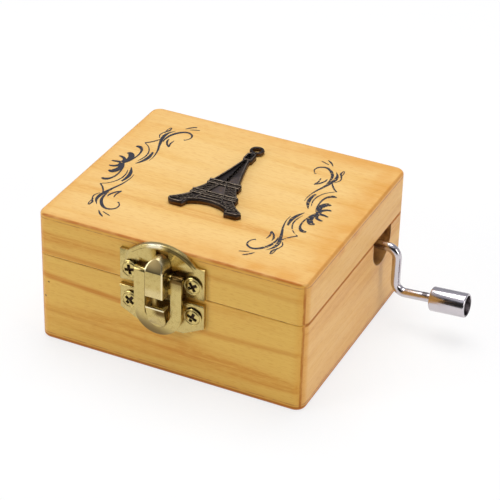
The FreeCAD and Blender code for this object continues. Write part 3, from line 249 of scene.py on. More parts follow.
cameraSettings = {
    # metres and degrees
    "place": (0.20412, -0.42874, 0.31753),
    "azimuth": 24.60,
    "elevation": 32.00,
    "roll": 1.63,
    "lens": 143.6,
    "sensor": 36,
    "nearest": 0.01,
}
turn = math.radians(cameraSettings["azimuth"])
rise = math.radians(cameraSettings["elevation"])
roll = math.radians(cameraSettings["roll"])
back = Vector((math.sin(turn) * math.cos(rise), -math.cos(turn) * math.cos(rise), math.sin(rise)))
right = Vector((math.cos(turn), math.sin(turn), 0))
up = back.cross(right)
cameraAxes = (math.cos(roll) * right + math.sin(roll) * up,
              -math.sin(roll) * right + math.cos(roll) * up, back)
camera = bpy.data.objects.new("viewCamera", bpy.data.cameras.new("viewCamera"))
cameraTurn = Matrix(cameraAxes).transposed().to_4x4()
camera.matrix_world = Matrix.Translation(cameraSettings["place"]) @ cameraTurn
camera.data.lens = cameraSettings["lens"]
camera.data.sensor_width = cameraSettings["sensor"]
camera.data.clip_start = cameraSettings["nearest"]
bpy.context.scene.collection.objects.link(camera)
bpy.context.scene.camera = camera
bpy.context.scene.view_settings.view_transform = "Standard"

lampSettings = {
    # name: (place, aimed at, width, height, watts)
    "overhead": ((-0.05, 0.15, 0.75), (0.0, 0.0, 0.03), 0.55, 0.45, 3.5),
    "frontLeft": ((-0.55, -0.62, 0.42), (0.0, 0.0, 0.02), 0.35, 0.45, 2.3),
    "rightSide": ((0.78, -0.10, 0.34), (0.0, 0.0, 0.02), 0.30, 0.50, 1.9),
}
for lampName, (lampPlace, target, width, height, watts) in lampSettings.items():
    lamp = bpy.data.lights.new(lampName, "AREA")
    lamp.shape = "RECTANGLE"
    lamp.size = width
    lamp.size_y = height
    lamp.energy = watts
    holder = bpy.data.objects.new(lampName, lamp)
    holder.location = lampPlace
    aim = Vector(target) - Vector(lampPlace)
    holder.rotation_euler = aim.to_track_quat("-Z", "Y").to_euler()
    bpy.context.scene.collection.objects.link(holder)

worldSettings = {
    "sky": 0.48,
    "skyTone": paint(240, 242, 252),
    "dark": 0.02,                    # light of the dark part, which the metal mirrors
    "darkTurn": 28,                  # degrees from the latch side towards the crank side
    "darkSides": (0.12, 0.45),
    "darkTop": (0.82, 0.74),
    "darkFoot": (-0.15, -0.02),
    "strip": 0.5,                    # extra light in the strip above the dark part
    "stripFoot": (0.80, 0.84),
    "stripTop": (0.93, 0.89),
}
world = bpy.data.worlds.new("studio")
world.use_nodes = True
bpy.context.scene.world = world
studio = Finish("studio", world.node_tree)
direction = studio.node("ShaderNodeTexCoord", output="Generated")
towards = math.radians(worldSettings["darkTurn"])
facing = studio.node("ShaderNodeVectorMath", {"operation": "DOT_PRODUCT"},
                     {0: direction, 1: (math.sin(towards), -math.cos(towards), 0)}, output="Value")
_, _, height = studio.axes(direction)
front = facing.ramp(*worldSettings["darkSides"])
gloom = front * height.ramp(*worldSettings["darkTop"]) * height.ramp(*worldSettings["darkFoot"])
strip = front * height.ramp(*worldSettings["stripFoot"]) * height.ramp(*worldSettings["stripTop"])
skyLevel = worldSettings["sky"] * (1 - gloom) + worldSettings["dark"] * gloom \
    + worldSettings["strip"] * strip
skyShader = studio.node("ShaderNodeBackground", {}, {
    "Color": worldSettings["skyTone"], "Strength": skyLevel})
plainWhite = studio.node("ShaderNodeBackground", {}, {"Color": (1, 1, 1, 1), "Strength": 1.0})
looking = studio.node("ShaderNodeLightPath", output="Is Camera Ray")
studio.node("ShaderNodeOutputWorld", {}, {
    "Surface": studio.node("ShaderNodeMixShader", {}, {0: looking, 1: skyShader, 2: plainWhite})})

floorSettings = {
    "reach": 1.6,
    "tone": paint(252, 252, 252),
    "glow": 0.74,
}
floorMesh = bpy.data.meshes.new("floor")
reach = floorSettings["reach"]
floorMesh.from_pydata([(-reach, -reach, 0), (reach, -reach, 0), (reach, reach, 0), (-reach, reach, 0)],
                      [], [(0, 1, 2, 3)])
floor = bpy.data.objects.new("floor", floorMesh)
bpy.context.scene.collection.objects.link(floor)
paper = Finish("floorPaper")
paths = paper.node("ShaderNodeLightPath", output="Is Camera Ray")
glossy = Signal(paper, paths.socket.node.outputs["Is Glossy Ray"])
through = Signal(paper, paths.socket.node.outputs["Is Transmission Ray"])
seen = paths.most(glossy).most(through)
matt = paper.node("ShaderNodeBsdfDiffuse", {}, {"Color": floorSettings["tone"]})
glow = paper.node("ShaderNodeEmission", {}, {"Color": (1, 1, 1, 1), "Strength": 1.0})
paper.finish(paper.node("ShaderNodeMixShader", {}, {0: seen * floorSettings["glow"], 1: matt, 2: glow}))
floor.data.materials.append(paper.material)
print("stage set")


# wood
grainSettings = {
    # cells in a millimetre along the fibres, across them and upwards; detail; roughness; distortion.
    # the rest are ranges of those noises and how much of a tone each lays on
    "figure": ((0.012, 0.13, 0.16), 3.0, 0.5, 0.6),
    "fibre": ((0.035, 1.9, 1.9), 3.0, 0.62),
    "pore": ((0.45, 3.4, 3.4), 1.0),
    "honeyFigure": (0.42, 0.68), "honeyFibre": (0.35, 0.75), "honeyShares": (0.70, 0.30),
    "streakFigure": (0.58, 0.72), "streakFibre": (0.28, 0.60), "streakShare": 0.45,
    "darkPore": (0.52, 0.70), "darkShare": 0.24,
    "palePore": (0.46, 0.30), "paleShare": 0.45,
    "roughness": (0.3, 0.8, 0.36, 0.50),
    "poreRelief": (0.75, 0.45), "reliefShares": (0.6, 0.4),
    "reliefStrength": 0.35, "relief": 0.05,
    "coat": 0.10, "coatRoughness": 0.25, "gloss": 0.22,
}
bandSettings = {
    "wander": 2.5,           # how far a band follows the figure
    "fadeIn": (-1, 5), "fadeOut": (1, -6),
    "edge": (1.7, 0.2),      # shares of the half width
    "fibre": (0.2, 0.6, 0.45, 1.0),
    "knotWobble": 0.3, "knotCore": 0.4, "knotShare": 0.85,
    "knotTone": paint(84, 44, 20),
}
skirtSettings = {
    # where the edge of a lying board starts, and where its front ends and its side begins
    "level": (0.3, 0.8), "inwards": (2.5, 1.2), "turn": (-0.2, 0.2),
}
varnishSettings = {
    # varnish gathers on the eased edges and along the joints; distances from the edges
    "tone": paint(182, 98, 10),
    "footTone": paint(188, 104, 10),
    "amber": paint(222, 146, 40),
    "patches": ((0.16, 0.16, 0.30), 2.0, 0.5), "patchRange": (0.30, 0.62, 0.45, 1.0),
    "halo": (0.2, 4.0, 0.42, 0.0),
    "lidHeights": (30.0, 34.0), "lidSkin": (0.8, 0.3),
    "lidHalo": (0.0, 13.0, 0.5, 0.0), "lidSides": (-25.0, 35.0, 0.5, 1.2),
    "frontSkin": (-32.5, -33.6), "frontHeights": (38.4, 39.4),
    "lineEdge": (0.85, 0.40), "lineSkin": (1.6, 0.9), "lineShares": (0.85, 0.42),
    "corner": (1.82, 1.765), "cornerShare": 0.85,
    "foot": (1.6, 1.15), "footSkin": (1.4, 0.9), "footShare": 0.85,
}
seamSettings = {
    "skin": (0.9, 0.4),
    "breaks": ((0.30, 0.30, 0.10), 2.0),
    # painted light along the groove of the seam, against the shade of its chamfers
    "paintedLight": (0.45, 0.20), "paintedLightShare": 0.6,
    "hairline": (0.16, 0.06), "hairlineBreaks": (0.34, 0.60, 0.25, 0.8),
    "sideLine": (0.75, 0.30), "sideShare": 0.8,
    "frontTone": paint(150, 88, 34), "sideTone": paint(186, 106, 18),
    "glueLines": (1.9, 38.9),
    "glue": (0.24, 0.06), "glueBreaks": (0.36, 0.56, 0.15, 0.55), "glueSide": 0.3,
    "glueTone": paint(170, 98, 54),
}
latchShadeSettings = {
    # painted shade on the wood behind the latch, where the latch keeps the light off
    "halfWidth": (8.2, 6.4), "depth": (-34.0, -34.4),
    "middle": 27.0, "halfHeight": (12.0, 10.4),
    "tone": paint(84, 44, 12), "share": 0.85,
}
slotSettings = {
    # the wood round the crank's slot is painted darker in patches, with painted light on the slot's lower
    # part
    "y": 18.3, "z": 24.3, "radius": 6.3, "edge": (0.35, 0.08),
    "clouds": ((0.5, 0.5, 0.3), 3.0), "cloudRange": (0.35, 0.65),
    "slotDarkest": paint(124, 74, 28), "slotDarkened": paint(196, 138, 74),
    # painted light on the lower part of the slot
    "foot": (22.5, 19.0), "footTone": paint(216, 160, 92), "footShare": 0.6,
    "share": 0.95,
}


class WoodFinish(Finish):
    def __init__(self, name, grain, shift, tones, skirt=None):
        # grain is the axis the fibres follow, 0 for X and 1 for Y; tones are (pale, honey, streak);
        # skirt has the tones of the front and of the side for the edges of a lying board
        super().__init__(name, shift=shift)
        self.grain = grain
        self.spot = self.place()
        self.x, self.y, self.z = self.axes(self.spot)
        self.sideways = halfWidth - abs(self.x)
        self.endways = halfDepth - abs(self.y)
        self.nearest = self.sideways.least(self.endways)
        self.level = (lidTop - self.z).least(self.z)
        self.atSide = (self.endways - self.sideways).ramp(*skirtSettings["turn"])
        self.figure, self.fibre, self.pore = [self.grown(kind) for kind in ("figure", "fibre", "pore")]
        if skirt:
            onEdge = self.level.ramp(*skirtSettings["level"]) * self.nearest.ramp(*skirtSettings["inwards"])
            tones = [self.mix(onEdge, own, self.mix(self.atSide, front, side))
                     for own, front, side in zip(tones, *skirt)]
        self.pale, self.honey, self.streak = tones
        self.colour = self.pale

    def grown(self, kind):
        (along, across, upwards), *rest = grainSettings[kind]
        flat = (across, along) if self.grain else (along, across)
        return self.noise(self.spot, (*flat, upwards), *rest)

    def lay(self, share, tone):
        self.colour = self.mix(share, self.colour, tone)

    def layGrain(self):
        look = grainSettings
        byFigure, byFibre = look["honeyShares"]
        self.lay(self.figure.ramp(*look["honeyFigure"]) * byFigure
                 + self.fibre.ramp(*look["honeyFibre"]) * byFibre, self.honey)
        self.lay(self.figure.ramp(*look["streakFigure"]) * self.fibre.ramp(*look["streakFibre"])
                 * look["streakShare"], self.streak)
        self.lay(self.pore.ramp(*look["darkPore"]) * look["darkShare"], self.streak)
        self.lay(self.pore.ramp(*look["palePore"]) * look["paleShare"], self.pale)

    def layBand(self, startX, startZ, endX, endZ, halfBand, strength):
        look = bandSettings
        slope = (endZ - startZ) / (endX - startX)
        drift = abs(self.z - startZ - (self.x - startX) * slope + (self.figure - 0.5) * look["wander"])
        along = self.x.ramp(*[startX + way for way in look["fadeIn"]]) \
            * self.x.ramp(*[endX + way for way in look["fadeOut"]])
        across = drift.ramp(*[halfBand * part for part in look["edge"]])
        self.lay(across * along * self.fibre.ramp(*look["fibre"]) * strength, self.streak)

    def layKnot(self, knotX, knotZ, knotRadius):
        look = bandSettings
        reach = (self.x - knotX).diagonal(self.z - knotZ) + (self.pore - 0.5) * look["knotWobble"]
        knot = reach.ramp(knotRadius, knotRadius * look["knotCore"])
        self.lay(knot * look["knotShare"], look["knotTone"])

    def layVarnish(self):
        look = varnishSettings
        edge = self.nearest.most(self.sideways.most(self.endways).least(self.level))
        patchy = self.noise(self.spot, *look["patches"]).ramp(*look["patchRange"])
        onLid = self.z.ramp(*look["lidHeights"])
        lidHalo = self.level.ramp(*look["lidSkin"]) * onLid * self.nearest.ramp(*look["lidHalo"]) \
            * patchy * self.x.ramp(*look["lidSides"])
        self.lay(edge.ramp(*look["halo"]).most(lidHalo), look["amber"])
        atFront = self.y.ramp(*look["frontSkin"]) * self.z.ramp(*look["frontHeights"])
        frontShare, sideShare = look["lineShares"]
        topLine = edge.ramp(*look["lineEdge"]) * self.level.ramp(*look["lineSkin"]) * onLid \
            * (atFront * patchy * frontShare + (1 - atFront) * sideShare)
        corner = (self.sideways + self.endways).ramp(*look["corner"]) * patchy * look["cornerShare"]
        self.lay(topLine.most(corner), look["tone"])
        foot = self.z.ramp(*look["foot"]) * self.nearest.ramp(*look["footSkin"]) * look["footShare"]
        self.lay(foot, look["footTone"])

    def layJoints(self):
        look = seamSettings
        skin = self.nearest.ramp(*look["skin"])
        fromSeam = abs(self.z - seamLevel)
        broken = self.noise(self.spot, *look["breaks"])
        # painted light in the groove of the seam, against the shade of its chamfers
        self.lay(fromSeam.ramp(*look["paintedLight"]) * skin * look["paintedLightShare"], self.pale)
        hairline = fromSeam.ramp(*look["hairline"]) * broken.ramp(*look["hairlineBreaks"])
        sideLine = fromSeam.ramp(*look["sideLine"]) * self.atSide * look["sideShare"]
        self.lay(hairline.most(sideLine) * skin, self.mix(self.atSide, look["frontTone"], look["sideTone"]))
        glueShare = broken.ramp(*look["glueBreaks"]) + self.atSide * look["glueSide"]
        for glueLevel in look["glueLines"]:
            self.lay(abs(self.z - glueLevel).ramp(*look["glue"]) * skin * glueShare, look["glueTone"])

    def layLatchShade(self):
        look = latchShadeSettings
        behind = abs(self.x - latchMiddle).ramp(*look["halfWidth"]) * self.y.ramp(*look["depth"]) \
            * abs(self.z - look["middle"]).ramp(*look["halfHeight"])
        self.lay(behind * look["share"], look["tone"])

    def laySlotDarkening(self):
        look = slotSettings
        fromMiddle = (self.y - look["y"]).diagonal((self.z - look["z"]).least(0.0))
        outside, inside = look["edge"]
        nearSlot = fromMiddle.ramp(look["radius"] + outside, look["radius"] + inside)
        clouds = self.noise(self.spot, *look["clouds"]).ramp(*look["cloudRange"])
        dark = self.mix(clouds, look["slotDarkest"], look["slotDarkened"])
        # painted light: the lower part of the slot is lighter
        dark = self.mix(self.z.ramp(*look["foot"]) * look["footShare"], dark, look["footTone"])
        self.lay(nearSlot * look["share"], dark)

    def varnished(self):
        look = grainSettings
        byFibre, byPore = look["reliefShares"]
        height = self.fibre * byFibre + self.pore.ramp(*look["poreRelief"]) * byPore
        return self.surface(
            Base_Color=self.colour, Roughness=self.fibre.ramp(*look["roughness"]),
            Specular_IOR_Level=look["gloss"],
            Coat_Weight=look["coat"], Coat_Roughness=look["coatRoughness"],
            Normal=self.bump(height, look["reliefStrength"], look["relief"]))


def woodFinish(name, grain, shift, tones, skirt=None, bands=(), knots=(), slotDarkened=False):
    # bands: (x, z, x, z, half width, strength); knots: (x, z, radius)
    wood = WoodFinish(name, grain, shift, tones, skirt)
    wood.layGrain()
    for band in bands:
        wood.layBand(*band)
    for knot in knots:
        wood.layKnot(*knot)
    wood.layVarnish()
    wood.layJoints()
    wood.layLatchShade()
    if slotDarkened:
        wood.laySlotDarkening()
    return wood.varnished()


lidTones = (paint(243, 202, 128), paint(235, 184, 100), paint(208, 132, 48))
frontTones = (paint(238, 192, 92), paint(228, 170, 72), paint(208, 128, 34))
sideTones = (paint(237, 186, 106), paint(228, 168, 84), paint(208, 134, 56))
skirtTones = (frontTones, sideTones)
# boards and walls cut from one plank share a shift, so that the figure runs on over the edge
lidGrain = (21.0, 9.4, 4.1)
baseGrain = (35.7, 14.2, 8.8)
woodFinishes = {
    "top_board": woodFinish("lidTopWood", 0, lidGrain, lidTones, skirtTones),
    "bottom_board": woodFinish("bottomWood", 0, baseGrain, lidTones, skirtTones),
    "lid_front_wall": woodFinish(
        "lidFrontWood", 0, lidGrain, frontTones,
        bands=[(-42, 28.6, -14, 28.3, 0.9, 0.7), (10, 34.8, 42, 34.6, 0.8, 0.3)]),
    "base_front_wall": woodFinish(
        "baseFrontWood", 0, baseGrain, frontTones,
        bands=[(-43, 21.3, -5, 18.2, 0.9, 0.85), (6, 16.6, 43, 18.0, 0.8, 0.55),
               (-42, 9.9, 14, 8.2, 0.6, 0.45), (22, 6.0, 43, 6.3, 0.5, 0.35), (-30, 5.2, 6, 4.6, 0.7, 0.3)],
        knots=[(-36.8, 18.8, 0.4), (-38.0, 13.9, 0.5)]),
    "lid_back_wall": woodFinish("lidBackWood", 0, (41.3, 5.0, 7.7), frontTones),
    "base_back_wall": woodFinish("baseBackWood", 0, (52.9, 8.1, 2.6), frontTones),
    "lid_right_wall": woodFinish("lidRightWood", 1, (6.6, 61.0, 3.9), sideTones),
    "base_right_wall": woodFinish("baseRightWood", 1, (9.2, 72.5, 6.4), sideTones, slotDarkened=True),
    "lid_left_wall": woodFinish("lidLeftWood", 1, (2.8, 83.3, 9.1), sideTones),
    "base_left_wall": woodFinish("baseLeftWood", 1, (4.5, 97.7, 1.8), sideTones),
}

# metals
metalSettings = {
    "patchDetail": (4.0, 0.62), "patchRange": (0.45, 0.72),
    "grain": (9, 9, 9), "grainRange": (0.3, 0.7), "roughShares": (0.85, 1.2),
    "deep": (0.15, 0.55),            # how hollow a spot has to be for the dirt and the painted shade to stay
    "dirtRoughness": 0.45, "dirtShine": 0.8,
    "dentShares": (0.5, 0.5), "dentStrength": 0.25,
}


def metalFinish(name, tone, worn, rough, patch=0.35, scale=0.9, dent=0.04, recess=None, marks=None):
    # tone is the clean metal, worn the tarnish in patches, recess the dirt and painted shade kept in the
    # cross and the groove of the screw heads;
    # marks lays on what only one piece has
    look = metalSettings
    metal = Finish(name)
    spot = metal.place()
    patches = metal.noise(spot, (scale, scale, scale), *look["patchDetail"])
    grainy = metal.noise(spot, look["grain"])
    colour = metal.mix(patches.ramp(*look["patchRange"]) * patch, tone, worn)
    roughness = grainy.ramp(*look["grainRange"], *[rough * share for share in look["roughShares"]])
    metallic = 1.0
    if recess:
        hollow = metal.node("ShaderNodeAttribute", {"attribute_name": "hollow"}, output="Fac")
        deep = hollow.ramp(*look["deep"])
        colour = metal.mix(deep, colour, recess)
        roughness = roughness + deep * look["dirtRoughness"]
        metallic = 1 - deep * look["dirtShine"]
    if marks:
        colour, roughness = marks(metal, spot, colour, roughness)
    byGrain, byPatch = look["dentShares"]
    return metal.surface(
        Base_Color=colour, Metallic=metallic, Roughness=roughness,
        Normal=metal.bump(grainy * byGrain + patches * byPatch, look["dentStrength"], dent))


bronzeSettings = {
    # blackened in the hollows, rubbed brown on what stands up and down the sides
    "rub": ((1.6, 1.6, 1.6), 3.0),
    "raised": (1.56, 1.76), "raisedRub": (0.36, 0.60, 0.35, 1.0),
    "raisedShare": 0.85, "raisedPolish": -0.08,
    "side": (1.3, 0.7), "sideRub": (0.30, 0.60, 0.3, 0.9),
    "raisedTone": paint(150, 134, 116), "sideTone": paint(104, 76, 46),
}


def bronzeRelief(metal, spot, colour, roughness):
    look = bronzeSettings
    height = metal.axes(spot)[2] - lidTop
    rub = metal.noise(spot, *look["rub"])
    raised = height.ramp(*look["raised"]) * rub.ramp(*look["raisedRub"])
    side = height.ramp(*look["side"]) * rub.ramp(*look["sideRub"])
    colour = metal.mix(raised * look["raisedShare"], colour, look["raisedTone"])
    colour = metal.mix(side, colour, look["sideTone"])
    return colour, roughness + raised * look["raisedPolish"]


leverSettings = {
    # the grip pressed out of the plate, with painted shade at the low end of the loop, on its upper right,
    # on the right arm's top, along the grip's outline and on the grip, and a painted highlight on the
    # grip's top edge; x from the latch's middle
    "gripCentre": 19.95, "gripReach": (2.95, 2.70), "gripTop": (24.1, 23.9),
    "lowTilt": 0.28, "lowEnd": (19.6, 15.2), "lowRoughness": 0.1,
    "highEnd": (29.6, 32.0), "highSide": (2.0, 4.0), "highShare": 0.6,
    "knuckle": (32.0, 32.5), "knuckleSide": (2.0, 3.0), "knuckleShare": 0.85,
    "outline": 2.85, "outlineReach": (0.32, 0.05), "outlineLevels": (22.2, 20.4), "outlineShare": 0.55,
    "pressedSide": (-1.3, 0.9), "pressedFoot": (20.6, 22.4), "pressedTop": (23.65, 23.3),
    "pressedShare": 0.9,
    "lip": (23.4, 23.7), "lipShare": 0.8,
    "paintedShadeTone": paint(126, 104, 62), "shade": paint(88, 62, 28), "paintedLight": paint(250, 240, 206),
}


def leverPaintedLight(metal, spot, colour, roughness):
    look = leverSettings
    x, _, z = metal.axes(spot)
    x = x - latchMiddle
    fromFoot = x.diagonal((z - look["gripCentre"]).least(0.0))
    grip = fromFoot.ramp(*look["gripReach"]) * z.ramp(*look["gripTop"])
    # painted shade: darker towards the low end of the loop, on its upper right, on the right arm's top,
    # along the grip's outline and on the grip below its top edge; the lip is a painted highlight
    lowEnd = (z + x * look["lowTilt"]).ramp(*look["lowEnd"]) * (1 - grip)
    highEnd = z.ramp(*look["highEnd"]) * x.ramp(*look["highSide"]) * look["highShare"]
    knuckle = z.ramp(*look["knuckle"]) * x.ramp(*look["knuckleSide"]) * look["knuckleShare"]
    outline = abs(fromFoot - look["outline"]).ramp(*look["outlineReach"]) \
        * z.ramp(*look["outlineLevels"]) * look["outlineShare"]
    pressed = x.ramp(*look["pressedSide"]) * z.ramp(*look["pressedFoot"]) \
        * z.ramp(*look["pressedTop"]) * grip * look["pressedShare"]
    lip = z.ramp(*look["lip"]) * grip * look["lipShare"]
    colour = metal.mix(lowEnd.most(highEnd).most(outline), colour, look["paintedShadeTone"])
    colour = metal.mix(pressed.most(knuckle), colour, look["shade"])
    return metal.mix(lip, colour, look["paintedLight"]), roughness + lowEnd * look["lowRoughness"]


hookSettings = {
    # painted shade on the sloping top, darker towards its foot, and painted highlights on its rim, its
    # right-hand front edge and its lower part
    "facetFoot": 35.4, "facetHeight": 3.4, "facetHalf": 2.5,
    "facetRim": (0.05, 0.40), "facetStart": (35.3, 35.45),
    "facetShade": (35.4, 38.4), "facetDark": paint(74, 62, 36), "facetLight": paint(164, 142, 94),
    "facetShare": 0.95, "facetRoughness": 0.25,
    "foot": (31.0, 29.0), "footShare": 0.3,
    "top": (35.3, 35.6), "edgeSide": (2.1, 2.4), "edgeDepth": (-39.9, -40.2), "edgeShare": 0.8,
    "paintedLight": paint(244, 228, 182),
}


def hookPaintedLight(metal, spot, colour, roughness):
    look = hookSettings
    x, y, z = metal.axes(spot)
    x = x - latchMiddle
    up = ((z - look["facetFoot"]).most(0.0) / look["facetHeight"]).least(1.0)
    halfWide = (1 - up * up).power(0.5) * look["facetHalf"]
    facet = (halfWide - abs(x)).ramp(*look["facetRim"]) * z.ramp(*look["facetStart"])
    tone = metal.mix(z.ramp(*look["facetShade"]), look["facetDark"], look["facetLight"])
    # painted highlight on the rim, the right-hand front edge and the lower part
    edge = x.ramp(*look["edgeSide"]) * y.ramp(*look["edgeDepth"])
    paintedLight = (z.ramp(*look["foot"]) * look["footShare"]).most(
        z.ramp(*look["top"]).most(edge) * look["edgeShare"])
    colour = metal.mix(paintedLight, colour, look["paintedLight"])
    return metal.mix(facet * look["facetShare"], colour, tone), roughness + facet * look["facetRoughness"]


archSettings = {
    # painted highlight on the left part of the raised rim, painted dark reflection on its right part, and
    # painted shade on the plate right of the hook
    "centre": 27.03, "rim": (12.75, 13.05), "rimDepth": (-35.3, -35.5),
    "dullFrom": (0.0, 2.4), "dullTo": (9.8, 8.4), "dullShare": 0.8, "dullRoughness": 0.15,
    "brightFrom": (-5.0, -3.0), "brightTo": (1.0, -0.6), "brightShare": 0.8,
    "brownPlace": (3.9, 34.6), "brownReach": (2.9, 0.8), "brownShare": 0.7,
    "dull": paint(74, 60, 30), "bright": paint(250, 240, 210), "brown": paint(152, 112, 40),
}


def archPaintedLight(metal, spot, colour, roughness):
    look = archSettings
    x, y, z = metal.axes(spot)
    x = x - latchMiddle
    raised = x.diagonal(z - look["centre"]).ramp(*look["rim"]) * y.ramp(*look["rimDepth"])
    # dull is the painted dark reflection, bright the painted highlight, brown the painted shade
    dull = raised * x.ramp(*look["dullFrom"]) * x.ramp(*look["dullTo"])
    bright = raised * x.ramp(*look["brightFrom"]) * x.ramp(*look["brightTo"])
    brownX, brownZ = look["brownPlace"]
    brown = (x - brownX).diagonal(z - brownZ).ramp(*look["brownReach"]) * (1 - raised)
    colour = metal.mix(dull * look["dullShare"], colour, look["dull"])
    colour = metal.mix(bright * look["brightShare"], colour, look["bright"])
    colour = metal.mix(brown * look["brownShare"], colour, look["brown"])
    return colour, roughness + dull * look["dullRoughness"]


crankSettings = {
    # painted dark reflection in a band on the wire beside the knob, and painted shade in the bore of the
    # knob
    "lean": 0.07,                    # the wire's end drops by this share of its length
    "reflectionFrom": (52.9, 53.4), "reflectionTo": (55.0, 54.5), "reflectionLevel": (15.15, 15.4), "reflectionShare": 0.85,
    "boreY": 18.3, "boreLevel": 15.78, "bore": (2.98, 2.86), "boreFrom": (59.5, 60.5), "boreShare": 0.8,
    "tone": paint(62, 54, 54), "reflectionRoughness": 0.2,
}


def crankMarks(metal, spot, colour, roughness):
    look = crankSettings
    x, y, z = metal.axes(spot)
    level = z + x * look["lean"]
    # flat is the painted dark reflection on the wire, bore the painted shade in the knob
    flat = x.ramp(*look["reflectionFrom"]) * x.ramp(*look["reflectionTo"]) * level.ramp(*look["reflectionLevel"]) \
        * look["reflectionShare"]
    bore = (y - look["boreY"]).diagonal(level - look["boreLevel"]).ramp(*look["bore"]) \
        * x.ramp(*look["boreFrom"]) * look["boreShare"]
    return metal.mix(flat.most(bore), colour, look["tone"]), roughness + flat * look["reflectionRoughness"]


latchDirtAndShade = paint(66, 42, 16)
steelDirtAndShade = paint(40, 38, 36)
latchTones = (paint(200, 178, 114), paint(156, 126, 64))
latchRoughness = 0.27
finishes = {
    "latch_brass": metalFinish("latchBrass", *latchTones, latchRoughness),
    "latch_steel": metalFinish("latchScrewBrass", paint(208, 186, 118), paint(160, 132, 74), 0.26,
                               recess=latchDirtAndShade),
    "hinge_brass": metalFinish("hingeBrass", paint(208, 184, 118), paint(150, 116, 56), 0.30),
    "bronze": metalFinish("darkBronze", paint(56, 50, 49), paint(70, 56, 44), 0.42,
                          patch=0.6, scale=0.8, marks=bronzeRelief),
    "chrome": metalFinish("chromePlate", paint(206, 200, 204), paint(186, 180, 186), 0.19,
                          patch=0.4, scale=0.2, dent=0.0002, marks=crankMarks),
    "zinc": metalFinish("zincCasting", paint(168, 170, 172), paint(128, 130, 134), 0.46,
                        patch=0.5, scale=0.7),
    "screw_steel": metalFinish("screwSteel", paint(196, 196, 198), paint(140, 138, 136), 0.28,
                               recess=steelDirtAndShade),
    "comb_steel": metalFinish("combSteel", paint(176, 178, 184), paint(120, 124, 136), 0.24,
                              patch=0.3, scale=0.3, dent=0.008),
    "cylinder_brass": metalFinish("cylinderBrass", paint(228, 196, 112), paint(186, 140, 60), 0.22,
                                  scale=0.5, dent=0.012),
    "arbor_steel": metalFinish("arborSteel", paint(196, 196, 200), paint(140, 140, 146), 0.24,
                               patch=0.3, scale=0.5),
}
# latch finishes with painted shade and painted highlights
paintedLightFinishes = {
    "latch_lever": metalFinish("leverBrass", *latchTones, latchRoughness, marks=leverPaintedLight),
    "latch_hook": metalFinish("hookBrass", *latchTones, latchRoughness, marks=hookPaintedLight),
    "catch_plate": metalFinish("catchBrass", *latchTones, latchRoughness, marks=archPaintedLight),
}

nylonSettings = {
    "clouds": ((0.6, 0.6, 0.6), 3.0), "cloudRange": (0.3, 0.7),
    "pale": paint(238, 234, 222), "dull": paint(226, 220, 204),
    "roughness": (0.38, 0.5),
    "subsurface": 0.1, "subsurfaceDepth": 0.4 * mm,
}
nylon = Finish("wheelNylon")
nylonClouds = nylon.noise(nylon.place(), *nylonSettings["clouds"])
finishes["wheel_nylon"] = nylon.surface(
    Base_Color=nylon.mix(nylonClouds.ramp(*nylonSettings["cloudRange"]),
                         nylonSettings["pale"], nylonSettings["dull"]),
    Roughness=nylonClouds.ramp(*nylonSettings["cloudRange"], *nylonSettings["roughness"]),
    Subsurface_Weight=nylonSettings["subsurface"], Subsurface_Scale=nylonSettings["subsurfaceDepth"])

inkSettings = {
    "rub": ((1.1, 2.4, 1.0), 3.0, 0.6), "thin": ((0.3, 3.2, 1.0), 2.0), "shares": (0.6, 0.4),
    "edge": (-0.03, 0.05),           # from the wear, how soft the rubbed edges are
    "full": paint(24, 26, 40), "faded": paint(48, 46, 58), "fadedRange": (0.35, 0.7),
    "roughness": (0.3, 0.7, 0.42, 0.58),
}


def inkFinish(name, wear):
    # wear is how much of the print has rubbed off
    look = inkSettings
    ink = Finish(name)
    spot = ink.place()
    rub = ink.noise(spot, *look["rub"])
    thin = ink.noise(spot, *look["thin"])
    byRub, byThin = look["shares"]
    kept = (rub * byRub + thin * byThin).ramp(*[wear + step for step in look["edge"]])
    tone = ink.mix(thin.ramp(*look["fadedRange"]), look["full"], look["faded"])
    return ink.surface(Base_Color=tone, Roughness=thin.ramp(*look["roughness"]), Alpha=kept)


def finishOf(nodeName):
    return woodFinishes.get(nodeName) or paintedLightFinishes.get(nodeName) or finishes[slotOfNode[nodeName]]


for nodeName, piece in nodes.items():
    piece.data.materials.clear()
    piece.data.materials.append(finishOf(nodeName))
print("finishes made")


def plainMesh(holder):
    # the evaluated shape of an object, with its modifiers used up
    evaluated = holder.evaluated_get(bpy.context.evaluated_depsgraph_get())
    return bpy.data.meshes.new_from_object(evaluated)


def keepPiece(holder, body, slotName, *stands):
    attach(holder, body)
    if stands:
        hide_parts(*stands)
    return holder


def addHolder(name, mesh):
    holder = bpy.data.objects.new(name, mesh)
    bpy.context.scene.collection.objects.link(holder)
    return holder


def spread(name, recipe, mesh, material, **sizes):
    # runs a recipe over a guide mesh and keeps the result as a plain mesh
    holder = addHolder(name, mesh)
    maker = holder.modifiers.new(name, "NODES")
    maker.node_group = recipe.tree
    for label, value in sizes.items():
        maker[recipe.keys[label]] = value
    maker[recipe.keys["finish"]] = material
    bpy.context.view_layer.update()
    made = plainMesh(holder)
    holder.modifiers.clear()
    holder.data = made
    return holder


def inMetres(sizes):
    return {label: value * mm for label, value in sizes.items()}


def guide(points, edges=(), **perPoint):
    mesh = bpy.data.meshes.new("guide")
    mesh.from_pydata([tuple(value * mm for value in point) for point in points], list(edges), [])
    for label, values in perPoint.items():
        layer = mesh.attributes.new(label, "FLOAT", "POINT")
        for index, value in enumerate(values):
            layer.data[index].value = value
    return mesh


